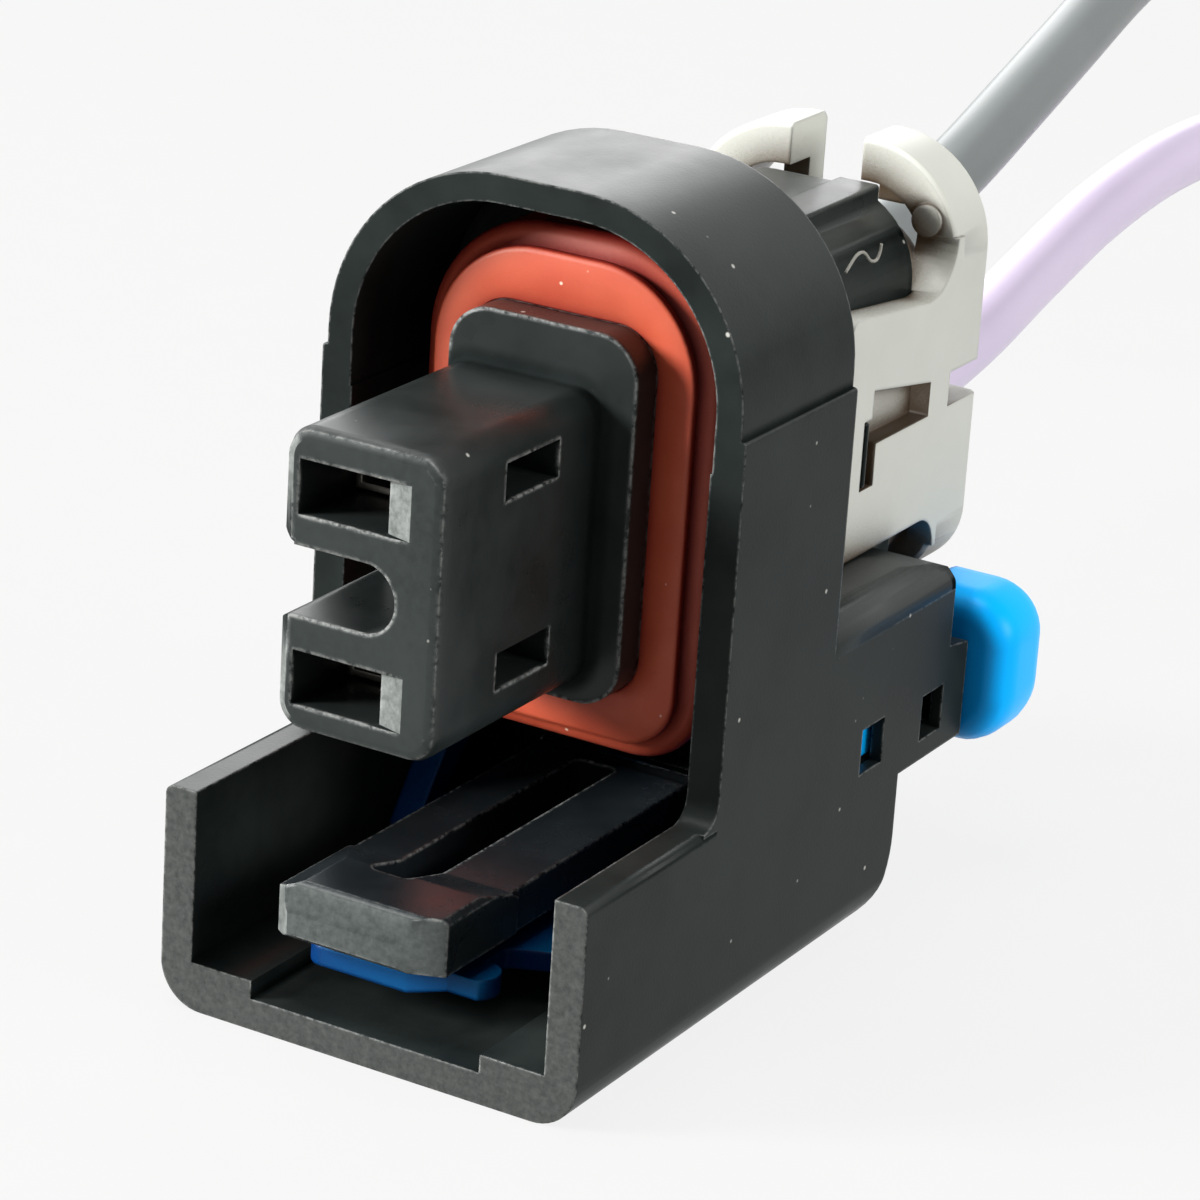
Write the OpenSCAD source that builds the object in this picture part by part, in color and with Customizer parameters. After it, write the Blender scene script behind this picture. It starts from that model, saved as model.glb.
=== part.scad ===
// Sealed two-way wire connector, plug side: open mating shroud, keyed nose,
// perimeter seal, sprung latch arm, locking slider, rear seal cover and leads.
// Millimetres. +Z up, +Y towards the wires, mating face at -Y.
// X = 0 is the middle of the shroud; the underside rests at Z = 0.

/* [Shroud box] */
// Outer width of the moulding
body_w = 12.6; // [12.2:0.1:13.4]
// Side wall thickness of the box
side_wall = 0.95; // [0.8:0.05:1]
// Length of the open box ahead of the arch
box_d = 6.44; // [5.8:0.1:8]
// Height of the box side walls
box_h = 6.13; // [5.6:0.1:6.6]
// Floor thickness in the middle recess
floor_t = 0.86; // [0.7:0.02:0.95]
// Step from the recess up to the side ledges
ledge_h = 0.5; // [0.3:0.05:0.55]
// Width of the middle recess in the floor
recess_w = 6.94; // [6:0.1:8]
// Radius of the two lower long edges
edge_r = 1.25; // [0.8:0.05:1.5]
// Fillet where the box walls run up into the arch
root_r = 0.7; // [0.4:0.1:1.5]

/* [Arch] */
// Depth of the arch from its front face to its rear face
arch_d = 5.96; // [5.5:0.1:7]
// Overall height of the arch
arch_h = 21.9; // [21.6:0.1:23]
// Width of the arch above its shoulders
arch_w = 12.3; // [12:0.1:12.5]
// Height of the shoulders
shoulder_z = 16.45; // [15:0.1:16.8]
// Outer corner radius of the arch
arch_r = 5; // [4:0.1:5.4]
// Wall thickness round the top of the arch
arch_wall = 0.75; // [0.6:0.05:1]
// Thickness of the web that closes the arch at the back
web_t = 1.2; // [1:0.05:1.4]

/* [Seal core and ways] */
// Set-back of the core's front face from the arch's front face
core_set = 1.56; // [1.2:0.1:2]
// Width of the core that carries the perimeter seal
core_w = 5.6; // [5.4:0.1:6]
// Height of the underside of the core
core_z = 8.2; // [8.1:0.05:8.3]
// Height of the core itself
core_h = 10; // [9.8:0.1:10.6]
// Corner radius of the core
core_r = 1.2; // [0.8:0.1:1.6]
// Sideways offset of the two wire ways
way_x = -1.15; // [-1.2:0.05:-1]
// Height of the lower way
way_z = 10.15; // [10.1:0.05:10.2]
// Spacing of the two ways
way_pitch = 5; // [4.9:0.05:5.1]
// Width of a terminal cavity
cavity_w = 2.5; // [2.3:0.05:2.6]
// Height of a terminal cavity
cavity_h = 1.44; // [1.3:0.02:1.6]
// Bore radius for a wire seal
bore_r = 1.95; // [1.85:0.01:2]
// Length of a wire seal bore
bore_l = 8.5; // [8.2:0.1:8.8]

/* [Rear tube] */
// Width of the rear tube
tube_w = 6.9; // [6.8:0.05:7.2]
// Height of the underside of the rear tube
tube_z = 6.9; // [6.8:0.1:7.4]
// Height of the rear tube itself
tube_h = 12.3; // [12:0.1:12.8]
// Corner radius of the rear tube
tube_r = 2.4; // [2:0.1:2.6]
// Width of the flat rib along the top of the tube
tube_rib_w = 1.3; // [1:0.1:1.6]
// Sideways offset of that rib
tube_rib_x = 1.55; // [1.3:0.05:1.7]
// Height of the top of that rib over the tube
tube_rib_rise = 0.15; // [0.05:0.05:0.3]
// Length of the rear tube behind the arch
tube_l = 8.6; // [8.4:0.1:9]
// How far a cover catch stands off the tube side
catch_h = 0.85; // [0.6:0.05:1]
// Height of a catch, along Z
catch_w = 1.8; // [1.4:0.1:2]
// Length of a catch, along Y
catch_l = 0.5; // [0.4:0.05:0.8]
// Distance of the catch behind the arch
catch_y = 4.7; // [4.4:0.1:5]
// Height of the middle of a catch
catch_z = 12.9; // [12.7:0.1:13.1]

/* [Slider housing] */
// Length of the lower heel behind the arch
heel_l = 4.5; // [4.3:0.1:5.5]
// Height of the heel, underside of the slider housing
heel_h = 4.2; // [4:0.05:4.3]
// Radius under the heel
heel_r = 2.4; // [1.5:0.1:3]
// Length of the slider housing behind the arch
slide_l = 8.3; // [8:0.1:8.3]
// Top height of the slider housing at the arch
slide_top = 10; // [9.6:0.1:10]
// Fall of that top towards the back
slide_fall = 0.25; // [0.1:0.05:0.6]
// Step from the end of that top to the end of the channel
end_step = 1.15; // [0.8:0.05:1.4]
// Rounding of the top long edges
slide_r = 1.1; // [0.6:0.1:1.6]
// Height of the channel floor for the slider rails
channel_z = 4.9; // [4.8:0.02:4.95]
// Height of the channel itself
channel_h = 1.7; // [1.6:0.05:1.75]
// Wall left behind the latch trough
heel_wall = 1.2; // [0.9:0.1:1.4]
// Distance of the front side windows behind the arch
win_y = 2.05; // [1.9:0.05:2.2]
// Length of a side window
win_l = 1.28; // [1.2:0.02:1.5]
// Height of a side window
win_h = 1.32; // [1.1:0.02:1.4]
// Depth of the detent groove inside each side wall
groove_d = 0.6; // [0.5:0.01:0.65]

/* [Nose] */
// Width of the nose
nose_w = 4.7; // [4.6:0.05:4.8]
// Sideways offset of the middle of the nose
nose_x = -0.53; // [-0.55:0.01:-0.45]
// Height of the underside of the nose
nose_z = 8.7; // [8.6:0.05:8.8]
// Height of the nose itself
nose_h = 8; // [7.9:0.1:8.2]
// How far the nose stands ahead of the box
nose_out = 0.3; // [0:0.05:1]
// Rounding of the long edges of the nose
nose_r = 0.8; // [0.5:0.05:0.9]
// Rounding round the front face of the nose
nose_edge = 0.3; // [0.1:0.05:0.4]
// Thickness of the collar between the nose and the core
collar_l = 1; // [0.8:0.05:1.2]
// Width of the lead-in ramp on one side of the two blade openings
lead_in = 0.75; // [0.5:0.05:0.8]
// Radius of the round key hole
key_r = 0.92; // [0.7:0.02:0.95]
// Depth of the key hole and its side notch
key_d = 5; // [3:0.5:6]
// Length of the spigot that plugs into the core
spigot_l = 2.8; // [2:0.1:3]
// Sideways offset of the spigot
spigot_x = -0.3; // [-0.35:0.05:-0.2]
// Width of the spigot
spigot_w = 4; // [3.9:0.05:4.1]
// Height of the spigot
spigot_h = 8.2; // [8:0.1:8.6]

/* [Perimeter seal] */
// Body thickness of the perimeter seal round the core
seal_t = 1.1; // [0.9:0.05:1.2]
// Height of its two ribs above the body
rib_h = 0.56; // [0.3:0.02:0.7]
// Length of one rib
rib_l = 0.7; // [0.5:0.05:0.9]
// Distance of the first rib behind the front edge
rib_y = 0.45; // [0.3:0.05:0.6]
// Distance between the two ribs
rib_pitch = 1.35; // [1.2:0.05:1.5]
// Extra height of the seal body above and below the core
seal_ends = 0.25; // [0.1:0.05:0.4]

/* [Latch arm] */
// Width of the press bar at the front
bar_w = 4.95; // [4.4:0.05:5.2]
// Depth of the press bar
bar_d = 1.5; // [1.2:0.1:2]
// Underside height of the arm
arm_z = 2.88; // [2.85:0.01:3]
// Thickness of the arm
arm_t = 1.22; // [1:0.02:1.3]
// Extra height of the press bar over the arm
bar_rise = 0.35; // [0.2:0.05:0.45]
// Width of the arm behind the bar
arm_w = 4.8; // [4.4:0.1:4.9]
// Sideways offset of the arm
arm_x = -0.42; // [-0.5:0.01:-0.35]
// Distance from the front of the bar to the long slot between the two rails
slot_y = 2; // [1.8:0.1:3]
// Width of the slot
slot_w = 1.3; // [1.2:0.1:1.9]
// Radius of the rounded root that the arm turns on
pivot_r = 0.7; // [0.6:0.05:0.75]
// Distance of the pivot behind the arch's rear face
pivot_y = 0.8; // [0.6:0.05:1]

/* [Locking slider] */
// Thickness of the tongue under the latch
tongue_t = 0.55; // [0.45:0.01:0.58]
// Top height of the tongue
tongue_top = 2.35; // [2.3:0.01:2.38]
// Distance of the tongue tip behind the box front
tip_y = 1.1; // [0.8:0.1:1.6]
// Width of the tongue
tongue_w = 4.5; // [4:0.1:4.7]
// Length of the cross plate that joins the tongue to the ramps
cross_l = 2.6; // [2.2:0.1:2.7]
// Cut-back of the front corners of the cross plate
cross_cut = 2; // [1.5:0.1:2.1]
// Width of each side rail
rail_w = 0.85; // [0.7:0.05:0.95]
// Height of each side rail
rail_h = 1.15; // [1:0.05:1.3]
// How far a detent barb stands off its rail
barb_h = 0.65; // [0.5:0.05:0.65]
// Length of a barb along Y
barb_l = 1.5; // [1.2:0.05:1.55]
// Width of the thumb pad
pad_w = 15.6; // [15:0.1:16]
// Thickness of the thumb pad
pad_t = 2.8; // [2.4:0.1:3]
// Underside height of the pad
pad_z = 3.7; // [3.5:0.1:4]
// Height of the pad wings
pad_h = 4.9; // [4.6:0.1:5.3]
// Corner radius of the pad
pad_r = 1.75; // [1.4:0.05:2]
// Rounding round the front and the back of the pad
pad_e = 0.9; // [0.6:0.05:1.1]
// Travel of the slider from locked to open
travel = 3.6; // [3.3:0.05:3.6]

/* [Rear cover] */
// Thickness of the plate against the tube end
plate_t = 1; // [0.8:0.05:1.3]
// Depth of the wire guide ring
ring_d = 2.1; // [1.8:0.1:2.6]
// Wall of the ring
ring_wall = 1.2; // [1:0.05:1.3]
// Top height of the ring
ring_top = 20.3; // [20.1:0.1:20.8]
// Underside height of the ring
ring_z = 7.7; // [7.5:0.1:7.9]
// Width of the gap between the two finger tips
ring_gap = 2.25; // [2:0.05:2.6]
// Thickness of the side plates
arm_plate_t = 0.8; // [0.7:0.05:0.9]
// Underside height of the side plates
plate_z = 10; // [9.95:0.05:10.2]
// Height of the side plates
plate_h = 7; // [6.6:0.1:7.2]
// Height of the slot between the two limbs of a side plate, at the ring
plate_slot = 1; // [0.8:0.1:1.2]
// Fall of the side plate's top towards the ring
plate_fall = 0.5; // [0.2:0.1:0.8]
// Blend radius between a side plate and the ring
blend_r = 1.5; // [1:0.1:2]
// Outer corner radius at the top of the ring
ring_r = 3; // [2.6:0.1:3.2]
// Edge chamfer round the front of the ring
ring_edge = 0.1; // [0.05:0.05:0.3]
// Depth of the lip under each finger tip
tip_lip = 0.9; // [0.6:0.1:1.2]
// Radius of the hole for each wire
wire_hole_r = 1.25; // [1.1:0.05:1.4]

/* [Terminals, wire seals and wires] */
// Sheet thickness of the terminals
sheet_t = 0.2; // [0.15:0.01:0.25]
// Length of the receptacle box
box_l = 5.6; // [5:0.1:6]
// Distance of the receptacle behind the nose front
term_set = 2.4; // [1.6:0.1:2.6]
// Length of a wire seal
wseal_l = 5.6; // [5:0.1:6]
// Depth of the grooves between the wire seal ribs
wseal_groove = 0.35; // [0.2:0.05:0.5]
// Outside diameter of each wire
wire_d = 2.04; // [1.9:0.02:2.1]
// Diameter of the bare strands
strand_d = 1.2; // [1:0.05:1.3]
// Bare length at the free end
strip_l = 6; // [4:0.5:10]

/* [Hidden] */
$fn = 64;
// Clearance between seated hard pieces
seat = 0.05;
// Running clearance of the slider in its channel
run = 0.15;
// Running clearance round the latch pivot
pivot_gap = 0.05;
// Overlap that joins pieces of one moulding
j = 0.4;

// Stations along Y, from the front of the box
y_arch = box_d;
y_back = y_arch + arch_d;
y_web = y_back - web_t;
y_core = y_arch + core_set;
y_tube = y_back + tube_l;
y_heel = y_back + heel_l;
y_slide = y_back + slide_l;
y_pad = y_slide + 0.1;
y_plate = y_tube + plate_t;
y_ring = y_plate + ring_d;
y_pivot = y_back + pivot_y;
y_slot = y_back + catch_y + catch_l - 0.1;
// The origin lies half way between the nose front and the ring's rear face
y_mid = (y_ring - nose_out) / 2;
// Heights and half widths shared by several pieces
in_x = body_w / 2 - side_wall;
ledge_z = floor_t + ledge_h;
channel_top = channel_z + channel_h;
arch_cx = arch_w / 2 - arch_r;
arch_cz = arch_h - arch_r;
core_top = core_z + core_h;
tube_top = tube_z + tube_h;
arm_top = arm_z + arm_t;
pivot_z = arm_z + pivot_r - 0.05;
tongue_z = tongue_top - tongue_t;
rail_x = in_x - 0.2;
rail_z = channel_z + run;
root_x0 = arm_x - tongue_w / 2 - 0.55;
root_x1 = arm_x + tongue_w / 2 + 0.55;
trough_end = y_heel - heel_wall;
slot_z = plate_z + 3.1;
// The ring is as wide as the side plates on the tube
ring_w = tube_w + 2 * (seat + arm_plate_t);
ways = [way_z, way_z + way_pitch];

module place() { translate([0, -y_mid, 0]) children(); }

// Extrude an X-Z outline from y0 to y1
module slab_y(y0, y1) { translate([0, y1, 0]) rotate([90, 0, 0]) linear_extrude(y1 - y0) children(); }

// Extrude a Y-Z outline from x0 to x1
module slab_x(x0, x1) { translate([x0, 0, 0]) rotate([90, 0, 90]) linear_extrude(x1 - x0) children(); }

// Extrude an X-Y outline from z0 to z1
module slab_z(z0, z1) { translate([0, 0, z0]) linear_extrude(z1 - z0) children(); }

// Rectangle with rounded bottom corners (rb) and rounded top corners (rt)
module rrect(x0, x1, z0, z1, rb, rt) {
    difference() {
        translate([x0, z0]) square([x1 - x0, z1 - z0]);
        corner(x0, z0, 1, 1, rb);
        corner(x1, z0, -1, 1, rb);
        corner(x0, z1, 1, -1, rt);
        corner(x1, z1, -1, -1, rt);
    }
}

// What a corner radius takes off a square corner at (x, z)
module corner(x, z, sx, sz, r) {
    if (r > 0)
        difference() {
            translate([sx > 0 ? x - 0.1 : x - r, sz > 0 ? z - 0.1 : z - r]) square(r + 0.1);
            translate([x + sx * r, z + sz * r]) circle(r);
        }
}

// Copies on both sides of the middle plane
module both() { children(); mirror([1, 0, 0]) children(); }

// ---- housing: one black moulding ----

module arch_outline() {
    rrect(-body_w / 2, body_w / 2, 0, shoulder_z, edge_r, 0.1);
    rrect(-arch_w / 2, arch_w / 2, shoulder_z - 2, arch_h, 0, arch_r);
}

module arch_inside() {
    r = arch_r - arch_wall;
    rrect(-in_x, in_x, ledge_z, shoulder_z, 0, 0);
    rrect(-arch_w / 2 + arch_wall, arch_w / 2 - arch_wall, shoulder_z - 1, arch_h - arch_wall, 0, r);
}

module housing_solid() {
    // Open box and heel, one U-shaped run with the rounded underside
    slab_y(0, y_arch + j) rrect(-body_w / 2, body_w / 2, 0, box_h, edge_r, 0.25);
    intersection() {
        slab_y(y_back - j, y_heel) rrect(-body_w / 2, body_w / 2, 0, heel_h + j, edge_r, 0);
        slab_x(-body_w, body_w) difference() {
            translate([0, 0]) square([y_heel, heel_h + j]);
            corner(y_heel, 0, -1, 1, heel_r);
        }
    }
    slab_y(y_arch, y_back) arch_outline();
    // Fillets from the box walls up the arch front
    both() slab_x(in_x, body_w / 2) difference() {
        translate([y_arch - root_r, box_h - 0.1]) square([root_r + 0.1, root_r + 0.1]);
        translate([y_arch - root_r, box_h + root_r]) circle(root_r);
    }
    // Slider housing behind the arch
    intersection() {
        slab_x(-body_w / 2, body_w / 2) polygon([[y_back - j, heel_h], [y_slide, heel_h],
            [y_slide, channel_top + 0.4], [y_slide - end_step, channel_top + 0.6],
            [y_slide - end_step, slide_top - slide_fall - 0.6],
            [y_slide - end_step - 0.2, slide_top - slide_fall - 0.2],
            [y_slide - end_step - 0.7, slide_top - slide_fall], [y_slide - end_step - 2.2, slide_top - 0.05],
            [y_back + 0.3, slide_top], [y_back - j, slide_top]]);
        slab_y(y_back - j, y_slide + 1) rrect(-body_w / 2, body_w / 2, heel_h - 1, slide_top, 0, slide_r);
    }
    // Rear tube with its cover catches
    slab_y(y_back - j, y_tube) rrect(-tube_w / 2, tube_w / 2, tube_z, tube_top, tube_r, tube_r);
    slab_y(y_back - j, y_tube) rrect(tube_rib_x - tube_rib_w / 2, tube_rib_x + tube_rib_w / 2,
        tube_top - 1.5, tube_top + tube_rib_rise, 0, 0.1);
    both() slab_z(catch_z - catch_w / 2, catch_z + catch_w / 2)
        polygon([[tube_w / 2 - j, y_back + catch_y], [tube_w / 2 + catch_h, y_back + catch_y],
            [tube_w / 2 + catch_h, y_back + catch_y + catch_l / 2],
            [tube_w / 2 + catch_h / 2, y_back + catch_y + catch_l],
            [tube_w / 2 - j, y_back + catch_y + catch_l]]);
}

module side_window(y, z) {
    both() translate([in_x - 0.3, y, z]) cube([side_wall + 1, win_l, win_h]);
}

module housing() {
    color([0.13, 0.13, 0.14]) place() union() {
        difference() {
            housing_solid();
            // Arch inside down to the ledges, back to the web
            slab_y(-1, y_web) arch_inside();
            // Latch trough, back to the heel wall, under the web
            translate([-in_x, -1, ledge_z]) cube([2 * in_x, trough_end + 1, channel_top - ledge_z]);
            translate([-recess_w / 2, -1, floor_t]) cube([recess_w, trough_end + 1, channel_top - floor_t]);
            // Channel for the slider rails, open at the back, with detent grooves
            translate([-in_x, trough_end - 1, channel_z]) cube([2 * in_x, slide_l + 5, channel_h]);
            both() translate([in_x - 0.3, y_back + win_y, channel_z])
                cube([0.3 + groove_d, slide_l - win_y - 0.8, win_h]);
            // Side windows
            side_window(y_back + win_y, channel_z + 0.04);
            side_window(y_back + win_y + travel, channel_z - 0.1);
            // Wire ways: cavity, seal bore and flared mouth
            for (z = ways) {
                translate([way_x - cavity_w / 2, y_web - 1, z - cavity_h / 2])
                    cube([cavity_w, y_tube - bore_l - y_web + 1.2, cavity_h]);
                translate([way_x, y_tube - bore_l, z]) rotate([-90, 0, 0])
                    cylinder(h = bore_l + 1, r = bore_r);
            }
        }
        difference() {
            union() {
                // Core that carries the perimeter seal
                slab_y(y_core, y_web + j) rrect(-core_w / 2, core_w / 2, core_z, core_top, core_r, core_r);
                // Root block of the latch arm, with a tunnel under it for the tongue
                translate([root_x0, y_pivot + pivot_r - 0.55, floor_t - j])
                    cube([root_x1 - root_x0, trough_end - y_pivot - pivot_r + 0.55 + j,
                        arm_top + j - floor_t]);
            }
            // Socket for the nose spigot
            slab_y(y_core - 1, y_core + spigot_l + seat)
                rrect(spigot_x - spigot_w / 2 - seat, spigot_x + spigot_w / 2 + seat,
                    nose_z + 0.05 - seat, nose_z + 0.05 + spigot_h + seat, 0.6, 0.6);
            for (z = ways) translate([way_x - cavity_w / 2, y_core, z - cavity_h / 2])
                cube([cavity_w, y_back - y_core, cavity_h]);
            // Half-round seat of the latch pivot
            translate([root_x0 - 1, y_pivot, pivot_z]) rotate([0, 90, 0])
                cylinder(h = root_x1 - root_x0 + 2, r = pivot_r + pivot_gap);
            // Tunnel for the tongue
            translate([arm_x - tongue_w / 2 - 0.25, y_pivot - 1, floor_t])
                cube([tongue_w + 0.5, trough_end - y_pivot + 1, tongue_top + 0.15 - floor_t]);
        }
    }
}

// ---- nose ----

module blade_mouth(z) {
    x1 = way_x + cavity_w / 2;
    translate([way_x - cavity_w / 2, -nose_out - 1, z - cavity_h / 2])
        cube([cavity_w, y_core + spigot_l + nose_out + 2, cavity_h]);
    // Ramp on the inner side of the opening
    slab_z(z - cavity_h / 2, z + cavity_h / 2) polygon([[x1 - 0.1, -nose_out - 0.1],
        [x1 + lead_in, -nose_out - 0.1], [x1 + lead_in, -nose_out], [x1 - 0.1, -nose_out + lead_in / 3]]);
}

module nose_face(g) {
    rrect(nose_x - nose_w / 2 + g, nose_x + nose_w / 2 - g, nose_z + g, nose_z + nose_h - g, nose_r - g,
        nose_r - g);
}

module nose_retainer() {
    x0 = nose_x - nose_w / 2;
    kx = nose_x + 0.13;
    kz = nose_z + nose_h / 2;
    color([0.15, 0.15, 0.16]) place() difference() {
        union() {
            hull() {
                slab_y(-nose_out, -nose_out + 0.02) nose_face(nose_edge);
                slab_y(-nose_out + nose_edge * 0.3, -nose_out + nose_edge * 0.3 + 0.02)
                    nose_face(nose_edge * 0.3);
                slab_y(-nose_out + nose_edge, y_core - collar_l + 0.2) nose_face(0);
            }
            // Collar with the core's own outline
            slab_y(y_core - collar_l, y_core)
                rrect(-core_w / 2, core_w / 2, core_z, core_top, core_r, core_r);
            slab_y(y_core - j, y_core + spigot_l) rrect(spigot_x - spigot_w / 2, spigot_x + spigot_w / 2,
                nose_z + 0.05, nose_z + 0.05 + spigot_h, 0.55, 0.55);
        }
        for (z = ways) blade_mouth(z);
        // Round key hole with the flared notch that opens to the side
        translate([kx, -nose_out - 1, kz]) rotate([-90, 0, 0]) cylinder(h = key_d + 1, r = key_r);
        slab_y(-nose_out - 1, key_d - nose_out) difference() {
            union() {
                translate([x0 - 1, kz - key_r]) square([kx - x0 + 1, 2 * key_r]);
                translate([x0 - 1, kz - key_r - 0.4]) square([1.4, 2 * key_r + 1.1]);
            }
            translate([x0 + 0.4, kz - key_r - 0.4]) circle(0.4);
            translate([x0 + 0.7, kz + key_r + 0.7]) circle(0.7);
        }
        // Lock windows in the side
        for (z = ways) translate([way_x, 2.5, z - 0.2]) cube([nose_w, 2.5, 1]);
    }
}

// ---- perimeter seal ----

module seal_outline(g) {
    rrect(-core_w / 2 - seal_t - g, core_w / 2 + seal_t + g, core_z - seal_t - seal_ends + 0.1 - g,
        core_top + seal_t + seal_ends + 0.15 + g, 1.5 + g, 3 + g);
}

module perimeter_seal() {
    len = y_web - y_core;
    color([0.86, 0.38, 0.29]) place() difference() {
        union() {
            slab_y(y_core, y_core + 0.3) seal_outline(0);
            slab_y(y_core + 0.2, y_core + len) seal_outline(-0.3);
            for (k = [0, 1]) {
                y = y_core + rib_y + k * rib_pitch;
                slab_y(y, y + rib_l) seal_outline(rib_h - 0.2);
                slab_y(y + rib_l * 0.25, y + rib_l * 0.75) seal_outline(rib_h);
            }
            slab_y(y_core + len - 0.4, y_core + len) seal_outline(0.1);
        }
        slab_y(y_core - 1, y_web + 1) rrect(-core_w / 2, core_w / 2, core_z, core_top, core_r, core_r);
    }
}

// ---- latch arm ----

module latch_arm() {
    bx = arm_x - bar_w / 2;
    top = arm_top + bar_rise;
    color([0.14, 0.14, 0.15]) place() difference() {
        union() {
            // Press bar: stepped front, bevelled left side, cut-back corners, fall to the rails
            intersection() {
                slab_x(bx, bx + bar_w) polygon([[0, arm_z + 0.12], [0.12, arm_z], [bar_d + 2.4, arm_z],
                    [bar_d + 2.4, arm_top - 0.2], [bar_d + 2.1, arm_top - 0.001], [bar_d + 0.7, top],
                    [0.3, top],
                    [0.14, top - 0.1], [0.08, arm_z + 0.8], [0, arm_z + 0.72]]);
                slab_z(arm_z - 1, top + 1) polygon([[bx, 0.3], [bx + 0.45, 0], [bx + bar_w - 1.2, 0],
                    [bx + bar_w, 0.5], [bx + bar_w, bar_d + 2.4], [bx, bar_d + 2.4]]);
                slab_y(-1, bar_d + 3) polygon([[bx, arm_z - 1], [bx + bar_w, arm_z - 1],
                    [bx + bar_w, top - 0.15],
                    [bx + bar_w - 0.15, top], [bx + 0.75, top], [bx, top - 0.3]]);
            }
            // Arm
            translate([arm_x - arm_w / 2, bar_d, arm_z]) cube([arm_w, y_pivot - bar_d, arm_t]);
            // Rounded root
            translate([arm_x - arm_w / 2, y_pivot, pivot_z]) rotate([0, 90, 0])
                cylinder(h = arm_w, r = pivot_r);
        }
        // Long slot that the mating lock drops into
        slab_z(arm_z - 1, top + 1) hull() for (y = [slot_y + 0.3, y_pivot - pivot_r - 0.3], x = [-1, 1])
            translate([arm_x - 0.28 + x * (slot_w / 2 - 0.3), y]) circle(0.3);
        // Relief above the pivot
        translate([arm_x - arm_w, y_pivot - 0.1, arm_top - 0.001]) cube([2 * arm_w, 2, 2]);
    }
}

// ---- locking slider ----

// The pad's outline, g smaller all round and set d back from both faces
module pad_slice(g, d) {
    slab_y(y_pad + d, y_pad + pad_t - d)
        rrect(-pad_w / 2 + g, pad_w / 2 - g, pad_z + g, pad_z + pad_h - g, pad_r - g, pad_r - g, $fn = 36);
}

module cpa_slider() {
    tx0 = arm_x - tongue_w / 2;
    tx1 = arm_x + tongue_w / 2;
    cross_y = y_core - 1;
    cross_e = cross_y + cross_l;
    color([0.0, 0.55, 0.85]) place() {
        // Tongue with a rounded tip, and the lobe on its side
        slab_z(tongue_z, tongue_top) difference() {
            union() {
                translate([tx0, tip_y]) square([tongue_w, y_back - 0.4 - tip_y]);
                translate([tx1, tip_y + 1.25]) circle(0.65);
                // Cross plate with its front corners cut back
                polygon([[-rail_x + cross_cut, cross_y], [rail_x - cross_cut, cross_y],
                    [rail_x, cross_y + cross_cut],
                    [rail_x, cross_e], [-rail_x, cross_e], [-rail_x, cross_y + cross_cut]]);
                // Shoulder on the lobe side
                polygon([[0, tip_y + 2.8], [tx1 - 0.2, tip_y + 2.8], [tx1 + 0.9, tip_y + 3.3],
                    [tx1 + 1.7, tip_y + 4.1],
                    [tx1 + 1.7, cross_y + 1], [0, cross_y + 1]]);
            }
            corner(tx0, tip_y, 1, 1, 0.6);
            polygon([[tx1 - 1.4, tip_y - 0.1], [tx1 - 1.3, tip_y], [tx1 - 0.5, tip_y + 0.7],
                [tx1 + 1, tip_y + 0.7], [tx1 + 1, tip_y - 0.1]]);
            polygon([[tx1 - 0.1, tip_y + 1.9], [tx1 + 1, tip_y + 1.9], [tx1 + 1, tip_y + 2.8],
                [tx1 - 0.1, tip_y + 2.8]]);
        }
        both() {
            // Ramps up to the rails
            slab_x(rail_x - rail_w, rail_x) polygon([[cross_y + cross_cut, tongue_z], [cross_e, tongue_z],
                [y_back - 0.2, rail_z], [y_back + 0.6, rail_z], [y_back + 0.6, rail_z + rail_h],
                [y_back - 0.9, rail_z + rail_h - 0.3], [cross_y + cross_cut, tongue_top]]);
            // Rails and detent barbs
            translate([rail_x - rail_w, y_back, rail_z]) cube([rail_w, y_pad + 0.5 - y_back, rail_h]);
            slab_z(rail_z, rail_z + rail_h - 0.1) polygon([[rail_x - 0.3, y_back + win_y + 0.1],
                [rail_x, y_back + win_y + 0.1], [rail_x + barb_h, y_back + win_y + 0.45],
                [rail_x + barb_h, y_back + win_y + 0.2 + barb_l],
                [rail_x - 0.3, y_back + win_y + 0.2 + barb_l]]);
        }
        // Thumb pad: a soft-edged saddle with the cover's ring in its cut-out
        difference() {
            hull() for (a = [0 : 22.5 : 90]) pad_slice(pad_e * (1 - sin(a)), pad_e * (1 - cos(a)));
            slab_y(y_pad - 1, y_pad + pad_t + 1) rrect(-ring_w / 2 - 0.35, ring_w / 2 + 0.35,
                tube_z - 0.4, pad_z + pad_h + 2, 0.8, 0);
        }
    }
}

// ---- rear cover ----

module ring_outline(g) {
    rrect(-ring_w / 2 + g, ring_w / 2 - g, ring_z + g, ring_top - g, 2 - g, ring_r - g);
}

// The slot in a side plate, from the catch back to y1
module slot_outline(y1) {
    polygon([[y_slot, slot_z], [y1, slot_z],
        [y1, slot_z + plate_slot + 0.6 * (y_tube - y1) / (y_tube - y_slot)],
        [y_slot, slot_z + plate_slot + 0.6]]);
}

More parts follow.
